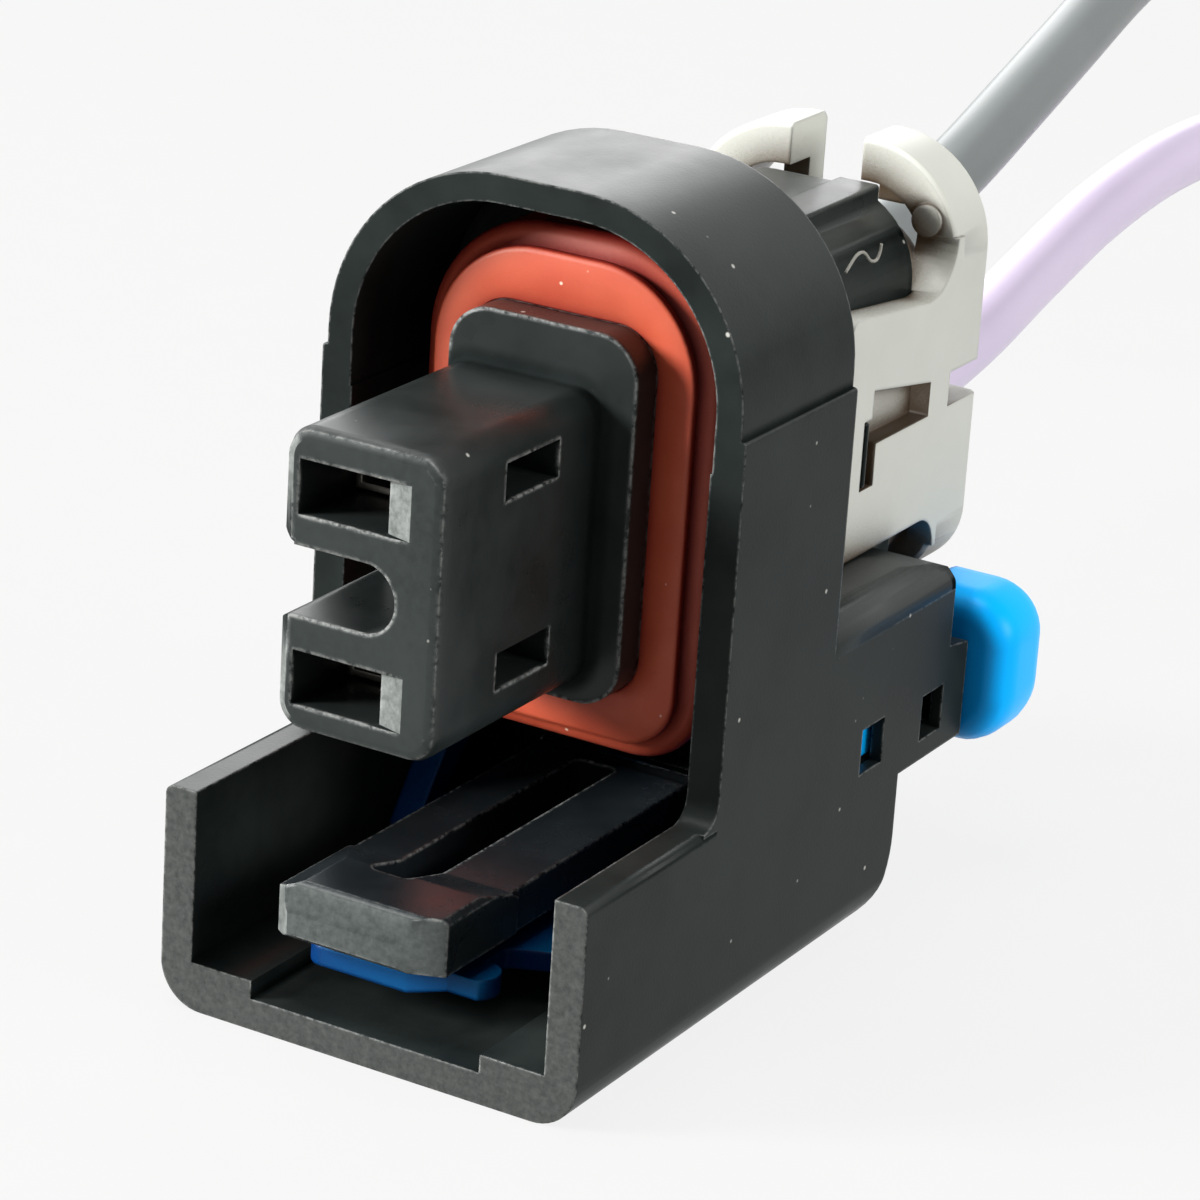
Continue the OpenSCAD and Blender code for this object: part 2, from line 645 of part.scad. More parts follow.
module rear_cover() {
    ax = tube_w / 2 + seat;
    top_z = plate_z + plate_h;
    low_z = top_z - plate_fall;
    y_clip = y_back + catch_y - 1.2;
    color([0.8, 0.8, 0.76]) place() {
        // Plate against the tube end, with a hole for each wire
        difference() {
            union() {
                slab_y(y_tube, y_plate + 0.2)
                    rrect(-tube_w / 2 + 0.1, tube_w / 2 - 0.1, ring_z + 0.3, tube_top - 0.9, 1.8, 2.2);
                slab_y(y_tube, y_plate + 0.2) rrect(-ring_w / 2, ring_w / 2, plate_z, low_z - 0.5, 0, 0);
            }
            for (z = ways) translate([way_x, y_tube - 1, z]) rotate([-90, 0, 0])
                cylinder(h = plate_t + 3, r = wire_hole_r);
        }
        // Wire guide ring, open at the top between two finger tips
        difference() {
            hull() {
                slab_y(y_plate, y_plate + 0.05) ring_outline(ring_edge);
                slab_y(y_plate + ring_edge, y_ring - 0.2) ring_outline(0);
                slab_y(y_ring - 0.05, y_ring) ring_outline(0.2);
            }
            slab_y(y_plate - 1, y_ring + 1) {
                rrect(-ring_w / 2 + ring_wall, ring_w / 2 - ring_wall, ring_z + ring_wall,
                    ring_top - ring_wall, 1, 1.7);
                translate([-ring_gap / 2, ring_top - ring_wall - 1]) square([ring_gap, ring_wall + 2]);
            }
            // The side slots carry on: shallow beside the plate, open at the back
            both() translate([ring_w / 2 - 0.3, y_plate - 1, slot_z]) cube([1, ring_d + 2, plate_slot]);
            both() translate([ring_w / 2 - ring_wall - 0.5, y_plate + 0.8, slot_z])
                cube([ring_wall + 1, ring_d, plate_slot]);
        }
        // Lip under each finger tip, at the back
        both() translate([ring_gap / 2, y_ring - tip_lip, ring_top - ring_wall - 0.8])
            cube([0.8, tip_lip, 1]);
        // Ejector mark on one finger
        translate([3.3, y_plate - 0.15, ring_top - 1.95]) rotate([-90, 0, 0]) cylinder(h = 0.5, r = 0.45);
        // Side plates that clip over the catches
        both() difference() {
            slab_x(ax, ring_w / 2) difference() {
                union() {
                    polygon([[y_clip, plate_z], [y_plate + 0.1, plate_z], [y_plate + 0.1, low_z],
                        [y_plate - blend_r, low_z], [y_clip, top_z]]);
                    difference() {
                        translate([y_plate - blend_r, low_z - 0.2]) square([blend_r + 0.4, blend_r + 0.2]);
                        translate([y_plate - blend_r, low_z + blend_r]) circle(blend_r);
                    }
                    // Fillet under the plate where it meets the ring
                    difference() {
                        translate([y_plate - 1, plate_z - 1]) square([1.2, 1.1]);
                        translate([y_plate - 1, plate_z - 1]) circle(1);
                    }
                }
                corner(y_clip, plate_z, 1, 1, 0.5);
                corner(y_clip, top_z, 1, -1, 0.5);
                // Window for the catch, and the start of the slot behind it
                translate([y_back + catch_y - seat, catch_z - catch_w / 2 - 0.1])
                    square([catch_l + 0.3, catch_w + 0.2]);
                slot_outline(y_slot + 0.8);
            }
            // The slot goes on as a groove
            slab_x(ax + 0.2, ring_w / 2 + 1) slot_outline(y_tube);
            translate([ring_w / 2 - 0.3, y_tube - 0.2, slot_z]) cube([1, 3, plate_slot]);
        }
        // Blend carried in under the finger, behind the tube end
        both() slab_x(tube_w / 2 - 0.45, ax + 0.1) difference() {
            translate([y_tube, low_z - 0.6]) square([plate_t + 0.2, blend_r + 0.6]);
            translate([y_plate - blend_r, low_z + blend_r]) circle(blend_r);
        }
    }
}

// ---- terminals ----

module terminal(z) {
    w = cavity_w - 0.16;
    h = cavity_h - 0.14;
    y0 = term_set - nose_out;
    y1 = y0 + box_l;
    y2 = y_tube - bore_l + 0.2;
    color([0.78, 0.74, 0.66]) place() translate([way_x, 0, z]) {
        // Receptacle box with a contact tongue
        difference() {
            translate([-w / 2, y0, -h / 2]) cube([w, box_l, h]);
            translate([-w / 2 + sheet_t, y0 - 1, -h / 2 + sheet_t])
                cube([w - 2 * sheet_t, box_l, h - 2 * sheet_t]);
        }
        slab_x(-w / 2 + sheet_t - 0.05, w / 2 - sheet_t + 0.05) polygon([[y0 + 0.4, -h / 2 + 0.1],
            [y0 + 2.6, -0.12], [y0 + 5, -h / 2 + 0.1]]);
        // Conductor crimp and insulation crimp on one carrier
        translate([0, y1 - 0.3, 0]) rotate([-90, 0, 0]) cylinder(h = y2 - y1 + 0.3, r = h / 2);
        difference() {
            translate([0, y2 - 0.1, 0]) rotate([-90, 0, 0]) cylinder(h = 1.7, r = wire_d / 2 + sheet_t);
            translate([0, y2 + 0.2, 0]) rotate([-90, 0, 0]) cylinder(h = 3, r = wire_d / 2 + 0.01);
        }
    }
}
module terminal_upper() { terminal(ways[1]); }
module terminal_lower() { terminal(ways[0]); }

// ---- wire seals ----

module wire_seal(z) {
    r = bore_r - 0.02;
    y1 = y_tube - 0.1;
    color([0.75, 0.3, 0.22]) place() translate([way_x, 0, z]) rotate([90, 0, 0]) translate([0, 0, -y1])
        rotate_extrude() polygon([[wire_d / 2 + 0.01, 0], [r, 0], [r, 0.6], [r - wseal_groove, 0.9],
            [r - wseal_groove, 1.3],
            [r, 1.6], [r, 2.1], [r - wseal_groove, 2.4], [r - wseal_groove, 2.8], [r, 3.1], [r, 3.6],
            [r - wseal_groove, 3.9], [wire_d / 2 + 0.45, wseal_l - 1.2], [wire_d / 2 + 0.45, wseal_l],
            [wire_d / 2 + 0.01, wseal_l]]);
}
module wire_seal_upper() { wire_seal(ways[1]); }
module wire_seal_lower() { wire_seal(ways[0]); }

// ---- wires ----

// Route points from the crimp, through the seal, to the free end on the surface
wire_y0 = y_tube - bore_l + 0.5;
route_upper = [[way_x, wire_y0, ways[1]], [way_x, 17.5, ways[1]], [way_x, 22, ways[1]], [-0.9, 25, 15.3],
    [-0.75, 28.5, 16.1], [-0.6, 32, 17.2], [-0.8, 36, 18.3], [-1.1, 40, 19.3], [-1.5, 45, 20.5],
    [-1.8, 50, 21.3], [-2, 55, 21.4], [-2.1, 60, 20.5], [-2.1, 64.5, 18.4], [-2, 68.5, 15.4],
    [-1.9, 72.5, 11.8], [-1.8, 76.5, 8.1], [-1.7, 80.5, 4.9], [-1.6, 85, 2.4], [-1.5, 90, 1.2],
    [-1.4, 95, 1.05], [-1.4, 101, 1.05], [-1.6, 107, 1.05], [-1.9, 112, 1.05]];
route_lower = [[way_x, wire_y0, ways[0]], [way_x, 17.5, ways[0]], [way_x, 22, ways[0]], [-0.9, 26, 10.2],
    [-0.75, 30, 10.6], [-0.6, 34, 11.4], [-0.65, 38, 12.4], [-0.7, 43, 13.5], [-0.5, 48, 14.2],
    [-0.1, 53, 14.2], [0.5, 58, 13.2], [1.1, 62.5, 11.2], [1.6, 66.5, 8.6], [2, 70.5, 5.8],
    [2.3, 75, 3.1], [2.6, 80, 1.5], [2.8, 85, 1.05], [2.9, 91, 1.05], [2.8, 97, 1.05],
    [2.6, 103, 1.05], [2.3, 109, 1.05]];

function unit(v) = v / norm(v);
// Direction of the route at point i
function along(p, i) = i == 0 ? unit(p[1] - p[0]) : i == len(p) - 1 ? unit(p[i] - p[i - 1])
    : unit(p[i + 1] - p[i - 1]);
// One ring of the tube, square to the route
function ring_pts(p, i, r, n) = let (t = along(p, i), u = unit(cross(t, [1, 0, 0])), v = cross(t, u))
    [for (k = [0 : n - 1]) p[i] + r * (cos(360 * (k + 0.5) / n) * v + sin(360 * (k + 0.5) / n) * u)];

module tube(p, r, n = 8) {
    m = len(p);
    pts = [for (i = [0 : m - 1]) each ring_pts(p, i, r, n)];
    sides = [for (i = [0 : m - 2], k = [0 : n - 1])
        [i * n + k, i * n + (k + 1) % n, (i + 1) * n + (k + 1) % n, (i + 1) * n + k]];
    polyhedron(points = pts, faces = concat([[for (k = [n - 1 : -1 : 0]) k]], sides,
        [[for (k = [0 : n - 1]) (m - 1) * n + k]]), convexity = 6);
}

module wire_upper() { color([0.28, 0.28, 0.3]) place() tube(route_upper, wire_d / 2); }
module wire_lower() { color([0.74, 0.7, 0.82]) place() tube(route_lower, wire_d / 2); }

// Bare strands that carry on from the cut insulation
module strands(p) {
    e = p[len(p) - 1];
    d = along(p, len(p) - 1);
    color([0.8, 0.5, 0.35]) place() tube([e, e + d * strip_l / 2, e + d * strip_l], strand_d / 2);
}
module strands_upper() { strands(route_upper); }
module strands_lower() { strands(route_lower); }

housing();
nose_retainer();
perimeter_seal();
latch_arm();
cpa_slider();
rear_cover();
terminal_upper();
terminal_lower();
wire_seal_upper();
wire_seal_lower();
wire_upper();
wire_lower();
strands_upper();
strands_lower();
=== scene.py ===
"""Sealed two-way wire connector: black moulding with an arched shroud, keyed nose, silicone seals,
latch arm, blue locking slider, grey rear cover and two leads."""

import math

import bmesh
import bpy
from mathutils import Matrix, Vector
from mathutils.kdtree import KDTree


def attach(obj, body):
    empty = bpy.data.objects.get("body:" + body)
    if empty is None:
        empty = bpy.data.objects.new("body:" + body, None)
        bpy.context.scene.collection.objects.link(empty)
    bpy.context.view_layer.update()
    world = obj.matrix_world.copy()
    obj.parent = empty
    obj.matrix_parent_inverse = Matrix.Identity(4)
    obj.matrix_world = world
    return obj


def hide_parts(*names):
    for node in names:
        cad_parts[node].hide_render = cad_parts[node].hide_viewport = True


bl_info = {
    "name": "Sealed wire connector",
    "version": (1, 0, 0),
    "blender": (4, 5, 0),
    "location": "View3D > Sidebar > Connector",
    "description": "Dresses the packed connector: plastics, silicone seals, terminals and two leads",
    "category": "Object",
}

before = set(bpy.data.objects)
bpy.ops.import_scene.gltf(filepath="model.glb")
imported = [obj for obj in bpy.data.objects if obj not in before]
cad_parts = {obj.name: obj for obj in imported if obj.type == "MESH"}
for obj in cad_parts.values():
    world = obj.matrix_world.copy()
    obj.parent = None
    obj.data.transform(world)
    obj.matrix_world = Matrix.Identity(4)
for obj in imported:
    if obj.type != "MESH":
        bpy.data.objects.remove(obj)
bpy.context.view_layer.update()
MM = 0.001
# The row frame's Y is the distance from the box front less this, in mm
Y_MID = 11.9


def srgb(hex_colour):
    """Linear RGBA from an sRGB hex string such as C8553D."""
    parts = [int(hex_colour[i : i + 2], 16) / 255 for i in (0, 2, 4)]
    return tuple(c / 12.92 if c <= 0.04045 else ((c + 0.055) / 1.055) ** 2.4 for c in parts) + (1.0,)


def at(x, y, z):
    """A point in metres from millimetres counted from the front of the box."""
    return Vector((x * MM, (y - Y_MID) * MM, z * MM))


def socket(sockets, key):
    """A socket by its identifier, or by its name or number."""
    for one in sockets:
        if one.identifier == key:
            return one
    return sockets[key]


def add(tree, kind, inputs=None, **settings):
    """One node with its settings; an input is a value or the socket that feeds it."""
    made = tree.nodes.new(kind)
    for name, value in settings.items():
        setattr(made, name, value)
    for key, value in (inputs or {}).items():
        if isinstance(value, bpy.types.NodeSocket):
            tree.links.new(value, socket(made.inputs, key))
        else:
            socket(made.inputs, key).default_value = value
    return made


def new_material(name):
    """An empty node material and its tree."""
    material = bpy.data.materials.new(name)
    material.use_nodes = True
    material.node_tree.nodes.clear()
    return material, material.node_tree


def close_material(material, tree, shader, height, distance, strength, normal=None):
    """Feeds the shader, with bump from a height (distance in mm) over a shading normal, to the surface."""
    bump = add(tree, "ShaderNodeBump", {"Height": height, "Distance": distance * MM, "Strength": strength})
    if normal is not None:
        tree.links.new(normal, bump.inputs["Normal"])
    tree.links.new(bump.outputs["Normal"], shader.inputs["Normal"])
    add(tree, "ShaderNodeOutputMaterial", {"Surface": shader.outputs[0]})
    return material


def smoothed_edges(tree, radius_mm, grain):
    """The shading normal with its edges rounded, how worn each outer edge is, broken up by the grain,
    and how free of inner corners a spot is."""
    bevel = add(tree, "ShaderNodeBevel", {"Radius": radius_mm * MM}, samples=6)
    facing = add(tree, "ShaderNodeNewGeometry").outputs["Normal"]
    along = add(tree, "ShaderNodeVectorMath", {0: bevel.outputs[0], 1: facing}, operation="DOT_PRODUCT")
    edge = add(tree, "ShaderNodeMapRange", {"Value": along.outputs["Value"], "From Min": 0.985,
        "From Max": 0.86})
    broken = add(tree, "ShaderNodeMapRange", {"Value": grain, "From Min": 0.38, "From Max": 0.6})
    # An inner corner is shut in by its walls, an outer one stands free and rubs
    room = add(tree, "ShaderNodeAmbientOcclusion", {"Distance": 2.5 * radius_mm * MM}, samples=6,
        only_local=True)
    free = add(tree, "ShaderNodeMapRange", {"Value": room.outputs["AO"], "From Min": 0.9, "From Max": 0.98})
    worn = add(tree, "ShaderNodeMath", {0: edge.outputs["Result"], 1: broken.outputs["Result"]},
        operation="MULTIPLY")
    outer = add(tree, "ShaderNodeMath", {0: worn.outputs[0], 1: free.outputs["Result"]}, operation="MULTIPLY")
    return bevel.outputs[0], outer.outputs[0], free.outputs["Result"]


def dust_specks(tree, place, share, cell_mm):
    """Dust: sparse cells, a share of them with a small pale heart."""
    cells = add(tree, "ShaderNodeTexVoronoi", {"Vector": place, "Scale": 1 / (cell_mm * MM)})
    heart = add(tree, "ShaderNodeMapRange", {"Value": cells.outputs["Distance"], "From Min": 0.05,
        "From Max": 0.1, "To Min": 1.0, "To Max": 0.0})
    pick = add(tree, "ShaderNodeSeparateColor", {"Color": cells.outputs["Color"]})
    few = add(tree, "ShaderNodeMath", {0: pick.outputs["Red"], 1: 1.0 - share}, operation="GREATER_THAN")
    speck = add(tree, "ShaderNodeMath", {0: heart.outputs["Result"], 1: few.outputs["Value"]},
        operation="MULTIPLY")
    return speck.outputs["Value"]


def clouded(tree, place, cloud_mm, detail, colour, dark):
    """The level of soft clouds, and a colour that drifts with them from a darker one."""
    cloud = add(tree, "ShaderNodeTexNoise", {"Vector": place, "Scale": 1 / (cloud_mm * MM), "Detail": detail})
    level = cloud.outputs["Fac"]
    tone = add(tree, "ShaderNodeMix", {"Factor_Float": level, "A_Color": dark, "B_Color": colour},
        data_type="RGBA")
    return level, tone.outputs[2]


def moulded_black(name, colour, light, front, roughness, gloss, grain_mm, grain_depth, dust, wear, rounding):
    """Glass-filled PBT, injection moulded: near black, satin, with a fine spark grain, faint cloudy
    wiping marks, pale worn edges and a few dust specks. Matte front end faces are painted a lighter grey
    for the light that falls on them, and lead-in ramps get a painted highlight, both mottled like wear."""
    material, tree = new_material(name)
    coords = add(tree, "ShaderNodeTexCoord")
    place = coords.outputs["Object"]
    cloud = add(tree, "ShaderNodeTexNoise", {"Vector": place, "Scale": 1 / (3.5 * MM), "Detail": 4.0,
        "Roughness": 0.6})
    grain = add(tree, "ShaderNodeTexNoise", {"Vector": place, "Scale": 1 / (grain_mm * MM), "Detail": 2.0})
    crumbs = add(tree, "ShaderNodeTexNoise",
        {"Vector": place, "Scale": 1 / (0.22 * MM), "Detail": 3.0, "Roughness": 0.7})
    normal, worn, free = smoothed_edges(tree, bpy.context.scene.connector.edge * rounding,
        crumbs.outputs["Fac"])
    speck = dust_specks(tree, place, dust, 0.8)
    # End faces at the mating front: matte, and painted a lighter grey for the light on them, mottled like
    # mating wear
    turned = add(tree, "ShaderNodeSeparateXYZ", {"Vector": coords.outputs["Normal"]})
    spot = add(tree, "ShaderNodeSeparateXYZ", {"Vector": place})
    facing = add(tree, "ShaderNodeMapRange",
        {"Value": turned.outputs["Y"], "From Min": -0.6, "From Max": -0.95})
    ahead = add(tree, "ShaderNodeMapRange", {"Value": spot.outputs["Y"], "From Min": (0.9 - Y_MID) * MM,
        "From Max": (0.4 - Y_MID) * MM})
    lit_end_face = add(tree, "ShaderNodeMath", {0: facing.outputs["Result"], 1: ahead.outputs["Result"]},
        operation="MULTIPLY")
    mottle = add(tree, "ShaderNodeMapRange",
        {"Value": crumbs.outputs["Fac"], "From Min": 0.3, "From Max": 0.7, "To Min": 0.45, "To Max": 1.0})
    lit_and_rubbed_end = add(tree, "ShaderNodeMath", {0: lit_end_face.outputs["Value"], 1: mottle.outputs["Result"]},
        operation="MULTIPLY")
    spread = add(tree, "ShaderNodeMapRange",
        {"Value": cloud.outputs["Fac"], "From Min": 0.35, "From Max": 0.7})
    tone = add(tree, "ShaderNodeMix", {"Factor_Float": spread.outputs["Result"], "A_Color": colour,
        "B_Color": light}, data_type="RGBA")
    # Painted light: the front end faces take the lighter grey
    grey = add(tree, "ShaderNodeMix", {"Factor_Float": lit_and_rubbed_end.outputs["Value"],
        "A_Color": tone.outputs[2], "B_Color": front}, data_type="RGBA")
    # Lead-in ramps at the front openings, turned to the key lamp: a painted highlight, mottled like polish
    # from the mating blades
    flat = add(tree, "ShaderNodeSeparateXYZ",
        {"Vector": add(tree, "ShaderNodeNewGeometry").outputs["True Normal"]})
    slanted = add(tree, "ShaderNodeMapRange",
        {"Value": flat.outputs["X"], "From Min": -0.22, "From Max": -0.28})
    ramp_lit_and_polished = add(tree, "ShaderNodeMath", {0: slanted.outputs["Result"], 1: lit_and_rubbed_end.outputs["Value"]},
        operation="MULTIPLY")
    bright = add(tree, "ShaderNodeMix", {"Factor_Float": ramp_lit_and_polished.outputs["Value"],
        "A_Color": grey.outputs[2], "B_Color": srgb("8C908D")}, data_type="RGBA")
    wear_level = add(tree, "ShaderNodeMath", {0: worn, 1: wear}, operation="MULTIPLY")
    edged = add(tree, "ShaderNodeMix", {"Factor_Float": wear_level.outputs["Value"],
        "A_Color": bright.outputs[2], "B_Color": srgb("A9ABA8")}, data_type="RGBA")
    dusty = add(tree, "ShaderNodeMix", {"Factor_Float": speck, "A_Color": edged.outputs[2],
        "B_Color": srgb("C4C3BC")}, data_type="RGBA")
    rough = add(tree, "ShaderNodeMapRange", {"Value": cloud.outputs["Fac"], "From Min": 0.3,
        "From Max": 0.7, "To Min": roughness - 0.06, "To Max": roughness + 0.08})
    dull = add(tree, "ShaderNodeMath", {0: lit_and_rubbed_end.outputs["Value"], 1: 0.25, 2: rough.outputs["Result"]},
        operation="MULTIPLY_ADD")
    # Faces turned up are wiped more and shine more than the sides
    wiped = add(tree, "ShaderNodeMapRange", {"Value": turned.outputs["Z"], "From Min": 0.3,
        "From Max": 0.9, "To Min": gloss, "To Max": gloss + 0.25})
    shine = add(tree, "ShaderNodeMath", {0: wiped.outputs["Result"], 1: free}, operation="MULTIPLY")
    shader = add(tree, "ShaderNodeBsdfPrincipled",
        {"Base Color": dusty.outputs[2], "Roughness": dull.outputs["Value"], "IOR": 1.5,
        "Specular IOR Level": shine.outputs["Value"]})
    return close_material(material, tree, shader, grain.outputs["Fac"], grain_depth, 0.6, normal)


def silicone(name, colour, dark, hollow_shade):
    """Silicone rubber, compression moulded: soft satin red, a little light goes in, painted dark red shade
    in hollows, with a faint bloom in patches and lint."""
    material, tree = new_material(name)
    place = add(tree, "ShaderNodeTexCoord").outputs["Object"]
    _, tone = clouded(tree, place, 2.2, 3.0, colour, dark)
    grain = add(tree, "ShaderNodeTexNoise", {"Vector": place, "Scale": 1 / (0.12 * MM), "Detail": 2.0})
    # Painted shade: spots shut in by walls within 6 mm are mixed toward the dark hollow red
    room = add(tree, "ShaderNodeAmbientOcclusion", {"Distance": 6 * MM}, samples=8)
    painted_shade = add(tree, "ShaderNodeMapRange",
        {"Value": room.outputs["AO"], "From Min": 0.56, "From Max": 0.3})
    shaded_tone = add(tree, "ShaderNodeMix", {"Factor_Float": painted_shade.outputs["Result"], "A_Color": tone,
        "B_Color": hollow_shade}, data_type="RGBA")
    lint = add(tree, "ShaderNodeMix", {"Factor_Float": dust_specks(tree, place, 0.3, 0.6),
        "A_Color": shaded_tone.outputs[2], "B_Color": srgb("F4D9C4")}, data_type="RGBA")
    shader = add(tree, "ShaderNodeBsdfPrincipled",
        {"Base Color": lint.outputs[2], "Roughness": 0.48, "IOR": 1.42, "Subsurface Weight": 0.12,
        "Subsurface Radius": (0.0012, 0.0004, 0.0003), "Subsurface Scale": 0.4})
    return close_material(material, tree, shader, grain.outputs["Fac"], 0.01, 0.4)


def plain_plastic(name, colour, dark, roughness, grain_mm, grain_depth):
    """Extruded PVC or a plain fibre: smooth, even colour with slight clouds."""
    material, tree = new_material(name)
    place = add(tree, "ShaderNodeTexCoord").outputs["Object"]
    _, tone = clouded(tree, place, 4, 3.0, colour, dark)
    grain = add(tree, "ShaderNodeTexNoise", {"Vector": place, "Scale": 1 / (grain_mm * MM), "Detail": 2.0})
    shader = add(tree, "ShaderNodeBsdfPrincipled", {"Base Color": tone, "Roughness": roughness, "IOR": 1.5})
    return close_material(material, tree, shader, grain.outputs["Fac"], grain_depth, 0.4)


def grey_with_painted_shade(name, colour, dark, shade_colour):
    """Nylon light grey, injection moulded: satin, slightly see-through, with a painted brown shade
    in hollows."""
    material, tree = new_material(name)
    place = add(tree, "ShaderNodeTexCoord").outputs["Object"]
    _, tone = clouded(tree, place, 3, 4.0, colour, dark)
    grain = add(tree, "ShaderNodeTexNoise", {"Vector": place, "Scale": 1 / (0.15 * MM), "Detail": 2.0})
    rounded = add(tree, "ShaderNodeBevel", {"Radius": 0.16 * MM}, samples=6)
    # Painted shade: spots shut in within 2.4 mm are mixed toward the brown shade colour
    room = add(tree, "ShaderNodeAmbientOcclusion", {"Distance": 2.4 * MM}, samples=8)
    hollow_shade = add(tree, "ShaderNodeMapRange",
        {"Value": room.outputs["AO"], "From Min": 0.82, "From Max": 0.58})
    hollow_shaded = add(tree, "ShaderNodeMix", {"Factor_Float": hollow_shade.outputs["Result"], "A_Color": tone,
        "B_Color": shade_colour}, data_type="RGBA")
    shader = add(tree, "ShaderNodeBsdfPrincipled",
        {"Base Color": hollow_shaded.outputs[2], "Roughness": 0.4, "IOR": 1.5, "Subsurface Weight": 0.1,
        "Subsurface Radius": (0.0006, 0.0006, 0.0006), "Subsurface Scale": 0.4})
    return close_material(material, tree, shader, grain.outputs["Fac"], 0.006, 0.4, rounded.outputs[0])


def lit_blue(name, colour, dark, roughness):
    """Nylon blue, lightly filled, with painted light and shade: faces turned toward the lamps are painted
    the lit blue, hollows and faces turned away a deeper shaded blue, and the pad glows faintly."""
    material, tree = new_material(name)
    coords = add(tree, "ShaderNodeTexCoord")
    place = coords.outputs["Object"]
    rounded = add(tree, "ShaderNodeBevel", {"Radius": 0.15 * MM}, samples=6)
    grain = add(tree, "ShaderNodeTexNoise", {"Vector": place, "Scale": 1 / (0.2 * MM), "Detail": 2.0})
    # Painted light: faces turned to the right and up are painted lighter, as the lamps reach them
    toward = add(tree, "ShaderNodeVectorMath", {0: rounded.outputs[0], 1: (0.8, 0.05, 0.6)},
        operation="DOT_PRODUCT")
    faced = add(tree, "ShaderNodeMapRange", {"Value": toward.outputs["Value"], "From Min": -0.1,
        "From Max": 0.6, "To Min": 0.12, "To Max": 1.0})
    # Painted shade: hollows within 6 mm go toward the shaded blue
    room = add(tree, "ShaderNodeAmbientOcclusion", {"Distance": 6 * MM}, samples=8)
    open_air = add(tree, "ShaderNodeMapRange",
        {"Value": room.outputs["AO"], "From Min": 0.35, "From Max": 0.8})
    shaded = add(tree, "ShaderNodeMath", {0: faced.outputs["Result"], 1: open_air.outputs["Result"]},
        operation="MULTIPLY")
    # Painted highlight: the barbs in the side windows stand right behind the openings and are painted lit, as
    # by the side light
    spot = add(tree, "ShaderNodeSeparateXYZ", {"Vector": place})
    aside = add(tree, "ShaderNodeMath", {0: spot.outputs["X"]}, operation="ABSOLUTE")
    outward = add(tree, "ShaderNodeMapRange",
        {"Value": aside.outputs["Value"], "From Min": 5.4 * MM, "From Max": 5.7 * MM})
    ahead = add(tree, "ShaderNodeMapRange", {"Value": spot.outputs["Y"], "From Min": (18 - Y_MID) * MM,
        "From Max": (17 - Y_MID) * MM})
    barb_painted_lit = add(tree, "ShaderNodeMath", {0: outward.outputs["Result"], 1: ahead.outputs["Result"]},
        operation="MULTIPLY")
    # Painted light and glow: the push pad stands outside the housing; it is painted lit, more at its rim, and
    # glows faintly
    outside = add(tree, "ShaderNodeMapRange",
        {"Value": spot.outputs["Y"], "From Min": (20.4 - Y_MID) * MM, "From Max": (21.2 - Y_MID) * MM})
    rim = add(tree, "ShaderNodeMapRange", {"Value": aside.outputs["Value"], "From Min": 6 * MM,
        "From Max": 7.3 * MM, "To Min": 0.5})
    bright = add(tree, "ShaderNodeMath", {0: faced.outputs["Result"], 1: rim.outputs["Result"]},
        operation="MAXIMUM")
    pad_painted_lit = add(tree, "ShaderNodeMath", {0: bright.outputs["Value"], 1: outside.outputs["Result"]},
        operation="MULTIPLY")
    part = add(tree, "ShaderNodeMath", {0: shaded.outputs["Value"], 1: barb_painted_lit.outputs["Value"]},
        operation="MAXIMUM")
    lit = add(tree, "ShaderNodeMath", {0: part.outputs["Value"], 1: pad_painted_lit.outputs["Value"]},
        operation="MAXIMUM")
    # Painted glow: the pad's lit level drives a faint emission
    painted_glow = add(tree, "ShaderNodeMath", {0: pad_painted_lit.outputs["Value"], 1: 0.4}, operation="MULTIPLY")
    tone = add(tree, "ShaderNodeMix", {"Factor_Float": lit.outputs["Value"], "A_Color": dark,
        "B_Color": colour}, data_type="RGBA")
    shader = add(tree, "ShaderNodeBsdfPrincipled",
        {"Base Color": tone.outputs[2], "Roughness": roughness, "IOR": 1.5, "Specular IOR Level": 0.14,
        "Emission Color": tone.outputs[2], "Emission Strength": painted_glow.outputs["Value"]})
    return close_material(material, tree, shader, grain.outputs["Fac"], 0.004, 0.4, rounded.outputs[0])


def metal(name, colour, dark, roughness):
    """Tinned or bare copper alloy, rolled and stamped: satin metal with faint drawing marks."""
    material, tree = new_material(name)
    place = add(tree, "ShaderNodeTexCoord").outputs["Object"]
    cloud, tone = clouded(tree, place, 0.4, 3.0, colour, dark)
    shader = add(tree, "ShaderNodeBsdfPrincipled",
        {"Base Color": tone, "Metallic": 1.0, "Roughness": roughness})
    return close_material(material, tree, shader, cloud, 0.004, 0.3)


